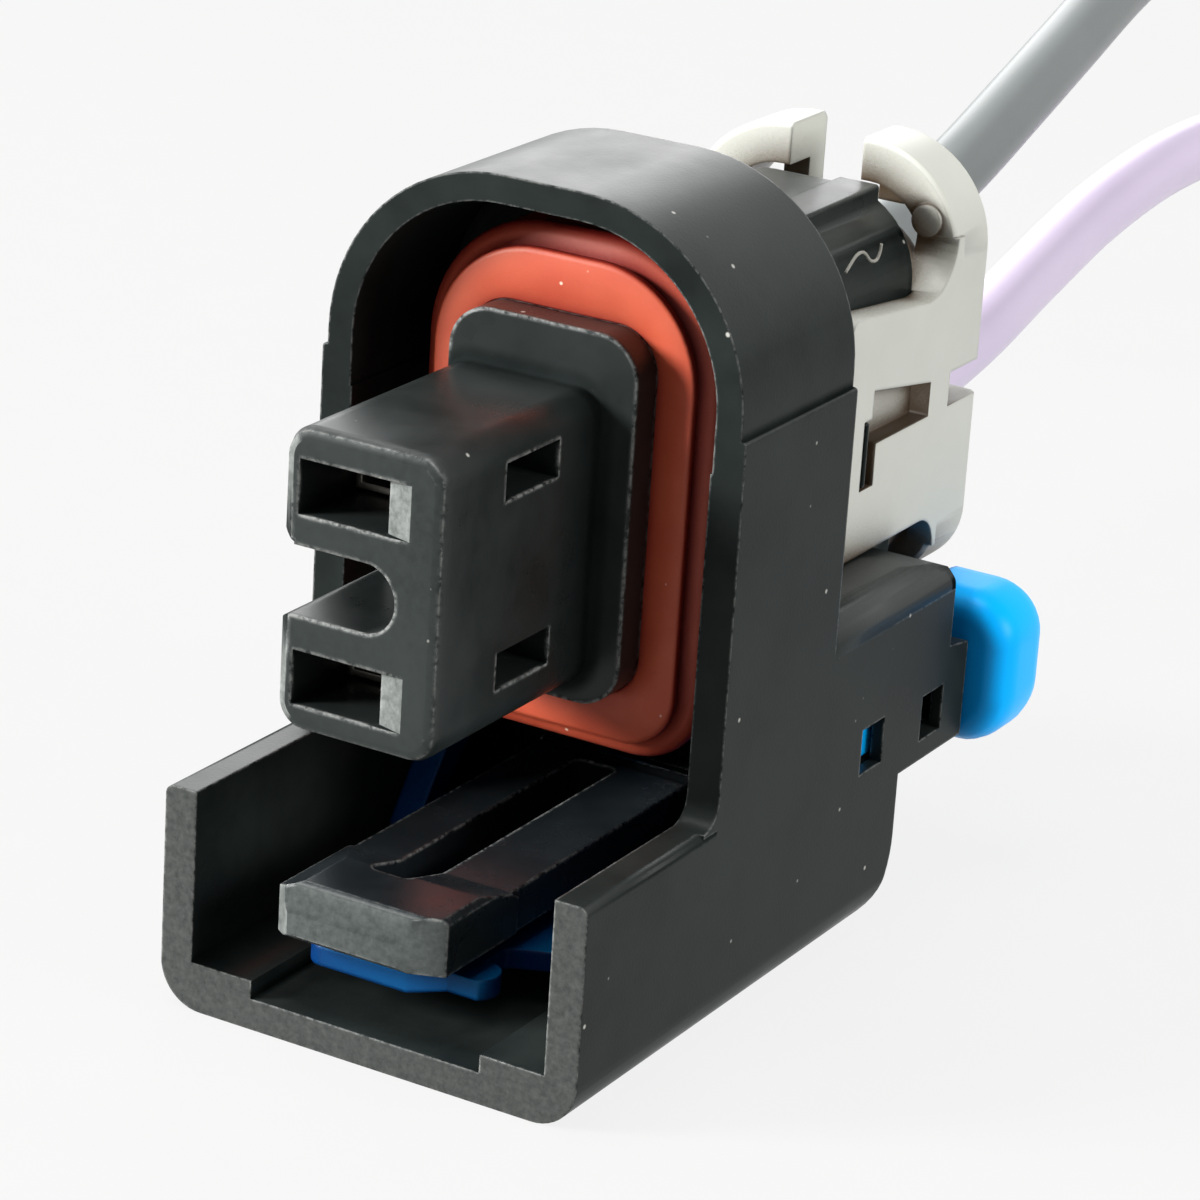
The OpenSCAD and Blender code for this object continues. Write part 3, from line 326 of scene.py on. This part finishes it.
# Each finish: its maker, the material's name, colours as sRGB hex, lengths in mm. A colour that is a
# setting is named after it.
FINISHES = {
    # In the black finishes, the front colour is a painted lighter grey for the light on the front end faces,
    # with wear
    "shroud": (moulded_black, "PBT black moulded", {
        "colour": "1C2120", "light": "2A302E", "front": "565856", "roughness": 0.33, "gloss": 0.06,
        "grain_mm": 0.09, "grain_depth": 0.006, "dust": 0.10, "wear": 0.6, "rounding": 1.0}),
    "nose": (moulded_black, "PBT black moulded nose", {
        "colour": "1D2221", "light": "2B302F", "front": "2C3230", "roughness": 0.3, "gloss": 0.22,
        "grain_mm": 0.12, "grain_depth": 0.004, "dust": 0.10, "wear": 1.0, "rounding": 2.0}),
    "latch": (moulded_black, "PBT black latch", {
        "colour": "1E2326", "light": "2C3235", "front": "555B58", "roughness": 0.24, "gloss": 0.25,
        "grain_mm": 0.12, "grain_depth": 0.005, "dust": 0.14, "wear": 0.9, "rounding": 1.6}),
    "seal": (silicone, "Silicone red", {"colour": "seal_colour", "dark": "C2472F", "hollow_shade": "8A231B"}),
    # The slider's blues are painted light and shade: its colour is the lit blue, dark the shaded blue
    "slider": (lit_blue, "Nylon blue moulded",
        {"colour": "slider_colour", "dark": "04265E", "roughness": 0.34}),
    "cover": (grey_with_painted_shade, "Nylon light grey moulded",
        {"colour": "E6E7DE", "dark": "D6D7CD", "shade_colour": "4E3E2C"}),
    "lint": (plain_plastic, "Lint pale fibre", {
        "colour": "A9A79E", "dark": "8F8D85", "roughness": 0.7, "grain_mm": 0.1, "grain_depth": 0.002}),
    "tin": (metal, "Tin plate on copper alloy", {"colour": "A9A59C", "dark": "7E7A72", "roughness": 0.4}),
    "copper": (metal, "Copper strand drawn", {"colour": "D98E63", "dark": "B96F48", "roughness": 0.28}),
    "dark_wire": (plain_plastic, "PVC grey insulation", {
        "colour": "upper_colour", "dark": "777C7C", "roughness": 0.28, "grain_mm": 0.2,
            "grain_depth": 0.004}),
    "violet_wire": (plain_plastic, "PVC pale violet insulation", {
        "colour": "lower_colour", "dark": "E8D8F6", "roughness": 0.34, "grain_mm": 0.2,
            "grain_depth": 0.004}),
}
MADE = {}


def material(key):
    """The finish of that name, made once."""
    if key not in MADE:
        maker, name, words = FINISHES[key]
        settings = bpy.context.scene.connector
        given = {}
        for word, value in words.items():
            if isinstance(value, str):
                value = tuple(getattr(settings, value)) if hasattr(settings, value) else srgb(value)
            given[word] = value
        MADE[key] = maker(name, **given)
    return MADE[key]


def finish_piece(obj, body, slot_name, *nodes):
    """Seats a finished piece on its body and hides the solids it stands for; the slot name is not used."""
    if nodes:
        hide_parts(*nodes)
    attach(obj, body)


def link(name, mesh, keys):
    """An object at the origin that shows a mesh in the given finishes."""
    obj = bpy.data.objects.new(name, mesh)
    bpy.context.scene.collection.objects.link(obj)
    mesh.materials.clear()
    for key in keys:
        mesh.materials.append(material(key))
    return obj


def apply_modifiers(obj):
    """Turns the object's modifiers into plain mesh."""
    bpy.context.view_layer.update()
    done = bpy.data.meshes.new_from_object(obj.evaluated_get(bpy.context.evaluated_depsgraph_get()))
    obj.modifiers.clear()
    old, obj.data = obj.data, done
    done.name = old.name
    bpy.data.meshes.remove(old)


def tamed(mesh, corners, reach):
    """Pulls back the few corners that the rounding threw further than reach from every corner of the
    solid."""
    tree = KDTree(len(corners))
    for i, corner in enumerate(corners):
        tree.insert(corner, i)
    tree.balance()
    form = bmesh.new()
    form.from_mesh(mesh)
    stray = {v for v in form.verts if tree.find(v.co)[2] > reach}
    # Each pass takes in the strays that touch a settled corner
    for _ in range(4):
        for v in sorted(stray, key=lambda v: v.index):
            near = [e.other_vert(v) for e in v.link_edges if e.other_vert(v) not in stray]
            if near:
                v.co = sum((n.co for n in near), Vector()) / len(near)
                stray.discard(v)
    form.to_mesh(mesh)
    form.free()


# Edges sharper than this are rounded or kept sharp
SHARP = math.radians(32)
# Corners closer than this are one, and faces within this angle of each other are one
SAME_PLACE, SAME_PLANE = 0.02 * MM, math.radians(0.6)
# How far a rounded edge may stand from the solid's corners, in widths of the rounding
THROW = 3.2


def softened(name, node, key, edge_mm):
    """A copy of a CAD solid with its sharp edges rounded, as a mould leaves them. With no edge, it keeps
    them sharp and smooths the rest."""
    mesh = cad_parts[node].data.copy()
    form = bmesh.new()
    form.from_mesh(mesh)
    bmesh.ops.remove_doubles(form, verts=form.verts, dist=SAME_PLACE)
    bmesh.ops.dissolve_limit(form, angle_limit=SAME_PLANE, verts=form.verts, edges=form.edges)
    form.to_mesh(mesh)
    form.free()
    corners = [v.co.copy() for v in mesh.vertices]
    obj = link(name, mesh, [key])
    for face in mesh.polygons:
        face.material_index = 0
        face.use_smooth = True
    if not edge_mm:
        mesh.set_sharp_from_angle(angle=SHARP)
        obj.modifiers.new("flat faces stay flat", "WEIGHTED_NORMAL").keep_sharp = True
        apply_modifiers(obj)
        return obj
    bevel = obj.modifiers.new("rounded edges", "BEVEL")
    bevel.width = edge_mm * MM
    bevel.segments = 2
    bevel.limit_method = "ANGLE"
    bevel.angle_limit = SHARP
    bevel.use_clamp_overlap = False
    bevel.harden_normals = True
    apply_modifiers(obj)
    tamed(obj.data, corners, THROW * edge_mm * MM)
    return obj


# Points that a route gets between two of its own
ROUTE_STEPS = 6


def smooth_route(points):
    """Catmull-Rom points through a route."""
    ends = [points[0] * 2 - points[1]] + list(points) + [points[-1] * 2 - points[-2]]
    out = []
    for i in range(1, len(ends) - 2):
        a, b, c, d = ends[i - 1 : i + 3]
        for k in range(ROUTE_STEPS):
            t = k / ROUTE_STEPS
            slope, bend, twist = c - a, 2 * a - 5 * b + 4 * c - d, 3 * b - a - 3 * c + d
            out.append(0.5 * (2 * b + slope * t + bend * t**2 + twist * t**3))
    return out + [points[-1]]


# Route points of the leads in mm, from the crimp to the cut end
LEADS = {
    "upper": [(-1.15, 13, 15.15), (-1.15, 17.5, 15.15), (-1.15, 22, 15.15), (-0.9, 25, 15.3),
        (-0.75, 28.5, 16.1), (-0.6, 32, 17.2), (-0.8, 36, 18.3), (-1.1, 40, 19.3), (-1.5, 45, 20.5),
        (-1.8, 50, 21.3), (-2, 55, 21.4), (-2.1, 60, 20.5), (-2.1, 64.5, 18.4), (-2, 68.5, 15.4),
        (-1.9, 72.5, 11.8), (-1.8, 76.5, 8.1), (-1.7, 80.5, 4.9), (-1.6, 85, 2.4), (-1.5, 90, 1.2),
        (-1.4, 95, 1.05), (-1.4, 101, 1.05), (-1.6, 107, 1.05), (-1.9, 112, 1.05)],
    "lower": [(-1.15, 13, 10.15), (-1.15, 17.5, 10.15), (-1.15, 22, 10.15), (-0.9, 26, 10.2),
        (-0.75, 30, 10.6), (-0.6, 34, 11.4), (-0.65, 38, 12.4), (-0.7, 43, 13.5), (-0.5, 48, 14.2),
        (-0.1, 53, 14.2), (0.5, 58, 13.2), (1.1, 62.5, 11.2), (1.6, 66.5, 8.6), (2, 70.5, 5.8),
        (2.3, 75, 3.1), (2.6, 80, 1.5), (2.8, 85, 1.05), (2.9, 91, 1.05), (2.8, 97, 1.05),
        (2.6, 103, 1.05), (2.3, 109, 1.05)],
}


def tube_mesh(name, points, radius, sides):
    """A round tube along points, closed at both ends, its rings kept from twisting."""
    form = bmesh.new()
    rings, across = [], Vector((1, 0, 0))
    for i, point in enumerate(points):
        along = (points[min(i + 1, len(points) - 1)] - points[max(i - 1, 0)]).normalized()
        across = (across - along * across.dot(along)).normalized()
        up = along.cross(across)
        turns = [2 * math.pi * k / sides for k in range(sides)]
        rings.append([form.verts.new(point + radius * (math.cos(a) * across + math.sin(a) * up))
            for a in turns])
    for one, two in zip(rings, rings[1:]):
        for k in range(sides):
            form.faces.new((one[k], one[(k + 1) % sides], two[(k + 1) % sides], two[k])).smooth = True
    form.faces.new(list(reversed(rings[0])))
    form.faces.new(rings[-1])
    bmesh.ops.recalc_face_normals(form, faces=form.faces)
    mesh = bpy.data.meshes.new(name)
    form.to_mesh(mesh)
    form.free()
    return mesh


def rounded_outline(x0, x1, z0, z1, low_radius, top_radius, arc=14):
    """Points of a rounded rectangle in X-Z, in mm, anticlockwise from the lower right corner."""
    out = []
    for cx, cz, r, start in (
        (x1 - low_radius, z0 + low_radius, low_radius, -90),
        (x1 - top_radius, z1 - top_radius, top_radius, 0),
        (x0 + top_radius, z1 - top_radius, top_radius, 90),
        (x0 + low_radius, z0 + low_radius, low_radius, 180),
    ):
        for k in range(arc + 1):
            turn = math.radians(start + 90 * k / arc)
            out.append((cx + r * math.cos(turn), cz + r * math.sin(turn)))
    return out


# The slider's pad is a little narrower and lower than its solid. Behind its front face, what lies past
# these limits of width and height (mm) is drawn in by these shares. The rails end inside the limits.
PAD_FRONT, PAD_SIDE, PAD_TOP = 20.75, 5.6, 6.6
PAD_NARROWED, PAD_LOWERED = 0.14, 0.18

# A pale fibre that clings to the side of the rear tube, in mm
FIBRE = [(3.5, 16.75, 18.02), (3.5, 17.3, 18.37), (3.5, 17.75, 18.37), (3.49, 18.2, 18.05),
    (3.49, 18.55, 17.98), (3.5, 18.72, 18.15), (3.5, 18.78, 18.4)]


# ---- settings ----


class ConnectorSettings(bpy.types.PropertyGroup):
    """Sizes and colours of the finishing work."""

    edge: bpy.props.FloatProperty(name="Edge rounding",
        description="Radius that the moulded edges show, in mm", default=0.1, min=0.02, max=0.2)
    wire: bpy.props.FloatProperty(name="Wire diameter", description="Outside diameter of each lead",
        default=0.00204, unit="LENGTH")
    strands: bpy.props.IntProperty(name="Strands",
        description="Bare copper strands in the outer layer of a lead", default=12, min=6, max=18)
    seal_colour: bpy.props.FloatVectorProperty(name="Seals", description="Colour of the silicone seals",
        subtype="COLOR", size=4, min=0, max=1, default=srgb("E06E4C"))
    # The slider's lit blue; its finish paints shade with a darker blue
    slider_colour: bpy.props.FloatVectorProperty(name="Slider",
        description="Colour of the locking slider", subtype="COLOR", size=4, min=0, max=1,
        default=srgb("00AEFF"))
    upper_colour: bpy.props.FloatVectorProperty(name="Upper lead", description="Colour of the upper lead",
        subtype="COLOR", size=4, min=0, max=1, default=srgb("858A8A"))
    lower_colour: bpy.props.FloatVectorProperty(name="Lower lead", description="Colour of the lower lead",
        subtype="COLOR", size=4, min=0, max=1, default=srgb("F6E8FF"))


# ---- operators ----


def background_rays(tree):
    """1 for the rays that show the background: straight from the camera, off a gloss or through glass."""
    rays = add(tree, "ShaderNodeLightPath").outputs
    plain = add(tree, "ShaderNodeMath", {0: rays["Is Camera Ray"], 1: rays["Is Glossy Ray"]},
        operation="MAXIMUM")
    clear = add(tree, "ShaderNodeMath", {0: plain.outputs[0], 1: rays["Is Transmission Ray"]},
        operation="MAXIMUM")
    return clear.outputs[0]


class CONNECTOR_OT_stage(bpy.types.Operator):
    """Camera, soft lamps and a pale floor."""

    bl_idname = "connector.stage"
    bl_label = "Stage"

    def execute(self, context):
        scene = context.scene
        # Camera: a long lens low to the right of the mating face
        azimuth, height, roll = (math.radians(a) for a in (29.385, 20.289, 3.711))
        back = Vector((math.sin(azimuth) * math.cos(height), -math.cos(azimuth) * math.cos(height),
            math.sin(height)))
        right = Vector((math.cos(azimuth), math.sin(azimuth), 0))
        up = back.cross(right)
        across = math.cos(roll) * right + math.sin(roll) * up
        upright = math.cos(roll) * up - math.sin(roll) * right
        camera = bpy.data.objects.new("camera", bpy.data.cameras.new("camera"))
        scene.collection.objects.link(camera)
        camera.data.lens, camera.data.sensor_width = 135.293, 36
        camera.data.clip_start, camera.data.clip_end = 0.005, 5
        turn = Matrix((across, upright, back)).transposed().to_4x4()
        camera.matrix_world = Matrix.Translation(at(1.292, 8.478, 10.531) + back * 117.372 * MM) @ turn
        scene.camera = camera
        # Floor: pale card, brighter to the eye than its light alone
        form = bmesh.new()
        bmesh.ops.create_grid(form, x_segments=1, y_segments=1, size=1.5)
        mesh = bpy.data.meshes.new("floor")
        form.to_mesh(mesh)
        form.free()
        floor = bpy.data.objects.new("floor", mesh)
        scene.collection.objects.link(floor)
        card, tree = new_material("Card white matte")
        grain = add(tree, "ShaderNodeTexNoise",
            {"Vector": add(tree, "ShaderNodeTexCoord").outputs["Object"], "Scale": 400.0})
        paper = add(tree, "ShaderNodeMix", {"Factor_Float": grain.outputs["Fac"],
            "A_Color": srgb("A4A4A2"), "B_Color": srgb("ACACAA")}, data_type="RGBA")
        diffuse = add(tree, "ShaderNodeBsdfDiffuse", {"Color": paper.outputs[2]})
        glow = add(tree, "ShaderNodeEmission", {"Color": srgb("FFFFFF"), "Strength": 1.0})
        seen = add(tree, "ShaderNodeMath", {0: background_rays(tree), 1: 0.85}, operation="MULTIPLY")
        both = add(tree, "ShaderNodeMixShader",
            {0: seen.outputs["Value"], 1: diffuse.outputs[0], 2: glow.outputs[0]})
        add(tree, "ShaderNodeOutputMaterial", {"Surface": both.outputs[0]})
        mesh.materials.append(card)
        # Soft lamps, turned to the object: a key low at the front left, a broad one above, a fill at the
        # right and a weak one behind. Place and size in metres, power in watts
        aim = Vector((0, 0, 0.01))
        for name, spot, size, power in (
            ("key lamp", (-0.23, -0.2, 0.12), 0.1, 1.9),
            ("top lamp", (-0.05, -0.02, 0.34), 0.2, 0.6),
            ("side lamp", (0.32, 0.03, 0.14), 0.16, 0.62),
            ("back lamp", (-0.155, 0.29, 0.135), 0.2, 0.24),
        ):
            spot = Vector(spot)
            lamp = bpy.data.objects.new(name, bpy.data.lights.new(name, "AREA"))
            lamp.data.shape, lamp.data.size, lamp.data.energy = "DISK", size, power
            lamp.matrix_world = Matrix.Translation(spot) @ (spot - aim).to_track_quat("Z",
                "Y").to_matrix().to_4x4()
            scene.collection.objects.link(lamp)
        world = bpy.data.worlds.new("studio")
        world.use_nodes = True
        tree = world.node_tree
        tree.nodes.clear()
        level = add(tree, "ShaderNodeMapRange",
            {"Value": background_rays(tree), "To Min": 0.11, "To Max": 1.0})
        sky = add(tree, "ShaderNodeBackground",
            {"Color": srgb("FFFFFF"), "Strength": level.outputs["Result"]})
        add(tree, "ShaderNodeOutputWorld", {"Surface": sky.outputs[0]})
        scene.world = world
        scene.view_settings.view_transform = "Standard"
        return {"FINISHED"}


class CONNECTOR_OT_leads(bpy.types.Operator):
    """The two insulated leads and their bare twisted ends."""

    bl_idname = "connector.leads"
    bl_label = "Leads"

    def execute(self, context):
        settings = context.scene.connector
        ways = (("upper", "dark_wire", "wire_dark"), ("lower", "violet_wire", "wire_violet"))
        for way, key, slot_name in ways:
            route = smooth_route([at(*p) for p in LEADS[way]])
            lead = link(f"lead_{way}", tube_mesh(f"lead_{way}", route, settings.wire / 2, 40), [key])
            finish_piece(lead, "shell", slot_name, f"wire_{way}")
            bare = self.bare_end(f"bare_strands_{way}", route, settings.strands)
            finish_piece(bare, "shell", "copper", f"strands_{way}")
        return {"FINISHED"}

    def bare_end(self, name, route, count):
        """Twisted strands: one spiral, copied round the lead's axis by nodes."""
        tree = bpy.data.node_groups.new("twisted strands", "GeometryNodeTree")
        tree.interface.new_socket("Geometry", in_out="OUTPUT", socket_type="NodeSocketGeometry")
        for label, kind, value in (
            ("Strands", "NodeSocketInt", count),
            ("Lay radius", "NodeSocketFloat", 0.47 * MM),
            ("Strand radius", "NodeSocketFloat", 0.12 * MM),
            ("Length", "NodeSocketFloat", 6 * MM),
            ("Turns", "NodeSocketFloat", 0.45),
        ):
            tree.interface.new_socket(label, in_out="INPUT", socket_type=kind).default_value = value
        given = add(tree, "NodeGroupInput").outputs
        spiral = add(tree, "GeometryNodeCurveSpiral",
            {"Resolution": 24, "Rotations": given["Turns"], "Start Radius": given["Lay radius"],
            "End Radius": given["Lay radius"], "Height": given["Length"]})
        hub = add(tree, "GeometryNodeMeshLine", {"Count": given["Strands"], "Offset": (0, 0, 0)})
        index = add(tree, "GeometryNodeInputIndex")
        share = add(tree, "ShaderNodeMath", {0: 2 * math.pi, 1: given["Strands"]}, operation="DIVIDE")
        angle = add(tree, "ShaderNodeMath", {0: index.outputs[0], 1: share.outputs[0]}, operation="MULTIPLY")
        turn = add(tree, "ShaderNodeCombineXYZ", {"Z": angle.outputs[0]})
        copies = add(tree, "GeometryNodeInstanceOnPoints",
            {"Points": hub.outputs[0], "Instance": spiral.outputs[0], "Rotation": turn.outputs[0]})
        loose = add(tree, "GeometryNodeRealizeInstances", {"Geometry": copies.outputs[0]})
        profile = add(tree, "GeometryNodeCurvePrimitiveCircle",
            {"Resolution": 8, "Radius": given["Strand radius"]})
        sheath = add(tree, "GeometryNodeCurveToMesh",
            {"Curve": loose.outputs[0], "Profile Curve": profile.outputs[0], "Fill Caps": True})
        lift = add(tree, "ShaderNodeCombineXYZ", {"Z": given["Length"]})
        core_line = add(tree, "GeometryNodeCurvePrimitiveLine", {"End": lift.outputs[0]})
        core_round = add(tree, "GeometryNodeCurvePrimitiveCircle", {"Resolution": 16, "Radius": 0.4 * MM})
        core = add(tree, "GeometryNodeCurveToMesh",
            {"Curve": core_line.outputs[0], "Profile Curve": core_round.outputs[0], "Fill Caps": True})
        whole = add(tree, "GeometryNodeJoinGeometry")
        tree.links.new(sheath.outputs[0], whole.inputs[0])
        tree.links.new(core.outputs[0], whole.inputs[0])
        real = add(tree, "GeometryNodeRealizeInstances", {"Geometry": whole.outputs[0]})
        done = add(tree, "GeometryNodeSetMaterial",
            {"Geometry": real.outputs[0], "Material": material("copper")})
        add(tree, "NodeGroupOutput", {"Geometry": done.outputs[0]})
        obj = link(name, bpy.data.meshes.new(name), ["copper"])
        obj.modifiers.new("twist", "NODES").node_group = tree
        apply_modifiers(obj)
        along = (route[-1] - route[-2]).normalized()
        place = Matrix.Translation(route[-1]) @ along.to_track_quat("Z", "Y").to_matrix().to_4x4()
        obj.data.transform(place)
        for face in obj.data.polygons:
            face.use_smooth = len(face.vertices) < 6
        return obj


class CONNECTOR_OT_shell(bpy.types.Operator):
    """The black housing and its keyed nose."""

    bl_idname = "connector.shell"
    bl_label = "Housing and nose"

    def execute(self, context):
        finish_piece(softened("shroud_moulding", "housing", "shroud", 0), "shell", "housing_black", "housing")
        finish_piece(softened("keyed_nose", "nose_retainer", "nose", 0), "shell", "nose_black",
            "nose_retainer")
        fibre = link("lint_fibre", tube_mesh("lint_fibre", smooth_route([at(*p) for p in FIBRE]),
            0.045 * MM, 8), ["lint"])
        finish_piece(fibre, "shell", "housing_black")
        return {"FINISHED"}


class CONNECTOR_OT_seals(bpy.types.Operator):
    """The ribbed silicone ring round the core and the two wire seals."""

    bl_idname = "connector.seals"
    bl_label = "Seals"

    def execute(self, context):
        # The core's outline and the ring's front face in mm, and how far the ring's flat land stands off
        half, low, high, front, land = 2.8, 8.2, 18.2, 8.0, 1.1
        # Section of the ring: stand-off from the core in mm, and distance behind its front face
        section = [
            (0.0, 0.03), (0.04, 0.0), (0.98, 0.0), (1.07, 0.03), (1.1, 0.1), (1.1, 0.22), (0.92, 0.36),
            (0.92, 0.4), (1.36, 0.5), (1.56, 0.6), (1.64, 0.72), (1.66, 0.8), (1.64, 0.9), (1.56, 1.02),
            (1.36, 1.12), (0.86, 1.26), (0.8, 1.4), (0.86, 1.74), (1.36, 1.86), (1.56, 1.96), (1.64, 2.08),
            (1.66, 2.15), (1.64, 2.24), (1.56, 2.36), (1.36, 2.46), (0.86, 2.6), (0.82, 2.75), (1.16, 2.84),
            (1.2, 2.92), (1.2, 3.18), (0.0, 3.19)]
        form = bmesh.new()
        rings = []
        for out, back in section:
            full = min(out / land, 1)
            ends = out + 0.25 * full
            low_corner = 1.2 + (out - 0.8 if out > land else 0.3 * full)
            top_corner = 1.2 + 1.8 * full + max(out - land, 0)
            outline = rounded_outline(
                -half - out, half + out, low - ends + 0.1 * full, high + ends + 0.15 * full, low_corner,
                    top_corner)
            rings.append([form.verts.new(at(x, front + back, z)) for x, z in outline])
        count = len(rings[0])
        for one, two in zip(rings, rings[1:] + rings[:1]):
            for k in range(count):
                form.faces.new((one[k], one[(k + 1) % count], two[(k + 1) % count], two[k])).smooth = True
        bmesh.ops.recalc_face_normals(form, faces=form.faces)
        mesh = bpy.data.meshes.new("perimeter_ring")
        form.to_mesh(mesh)
        form.free()
        finish_piece(link("perimeter_ring", mesh, ["seal"]), "shell", "seal_red", "perimeter_seal")
        for way in ("upper", "lower"):
            piece = softened(f"wire_grommet_{way}", f"wire_seal_{way}", "seal", 0.06)
            finish_piece(piece, "shell", "wire_seal_red", f"wire_seal_{way}")
        return {"FINISHED"}


class CONNECTOR_OT_moving_parts(bpy.types.Operator):
    """The latch arm and the blue locking slider."""

    bl_idname = "connector.moving_parts"
    bl_label = "Latch and slider"

    def execute(self, context):
        finish_piece(softened("latch_lever", "latch_arm", "latch", 0), "latch", "latch_black", "latch_arm")
        slide = softened("locking_slide", "cpa_slider", "slider", 0)
        for corner in slide.data.vertices:
            if corner.co.y > (PAD_FRONT - Y_MID) * MM:
                side, top = abs(corner.co.x) - PAD_SIDE * MM, corner.co.z - PAD_TOP * MM
                corner.co.x -= math.copysign(PAD_NARROWED * max(side, 0), corner.co.x)
                corner.co.z -= PAD_LOWERED * max(top, 0)
        finish_piece(slide, "slider", "slider_blue", "cpa_slider")
        return {"FINISHED"}


class CONNECTOR_OT_cover(bpy.types.Operator):
    """The light grey rear cover and the tinned terminals."""

    bl_idname = "connector.cover"
    bl_label = "Rear cover and terminals"

    def execute(self, context):
        finish_piece(softened("rear_guide", "rear_cover", "cover", 0), "shell", "cover_grey", "rear_cover")
        for way in ("upper", "lower"):
            piece = softened(f"tinned_terminal_{way}", f"terminal_{way}", "tin", 0.03)
            finish_piece(piece, "shell", "terminal_tin", f"terminal_{way}")
        return {"FINISHED"}


class CONNECTOR_PT_panel(bpy.types.Panel):
    """The connector's steps in the sidebar."""

    bl_idname = "CONNECTOR_PT_panel"
    bl_label = "Connector"
    bl_space_type = "VIEW_3D"
    bl_region_type = "UI"
    bl_category = "Connector"

    def draw(self, context):
        for name in ConnectorSettings.__annotations__:
            self.layout.prop(context.scene.connector, name)
        for step in STEPS:
            self.layout.operator(step.bl_idname)


STEPS = (CONNECTOR_OT_stage, CONNECTOR_OT_leads, CONNECTOR_OT_shell, CONNECTOR_OT_seals,
    CONNECTOR_OT_moving_parts, CONNECTOR_OT_cover)
CLASSES = (ConnectorSettings,) + STEPS + (CONNECTOR_PT_panel,)


def register():
    for one in CLASSES:
        bpy.utils.register_class(one)
    bpy.types.Scene.connector = bpy.props.PointerProperty(type=ConnectorSettings)


def unregister():
    del bpy.types.Scene.connector
    for one in reversed(CLASSES):
        bpy.utils.unregister_class(one)


def main():
    register()
    bpy.ops.connector.stage()
    bpy.ops.connector.leads()
    bpy.ops.connector.shell()
    bpy.ops.connector.seals()
    bpy.ops.connector.moving_parts()
    bpy.ops.connector.cover()


if __name__ == "__main__":
    main()
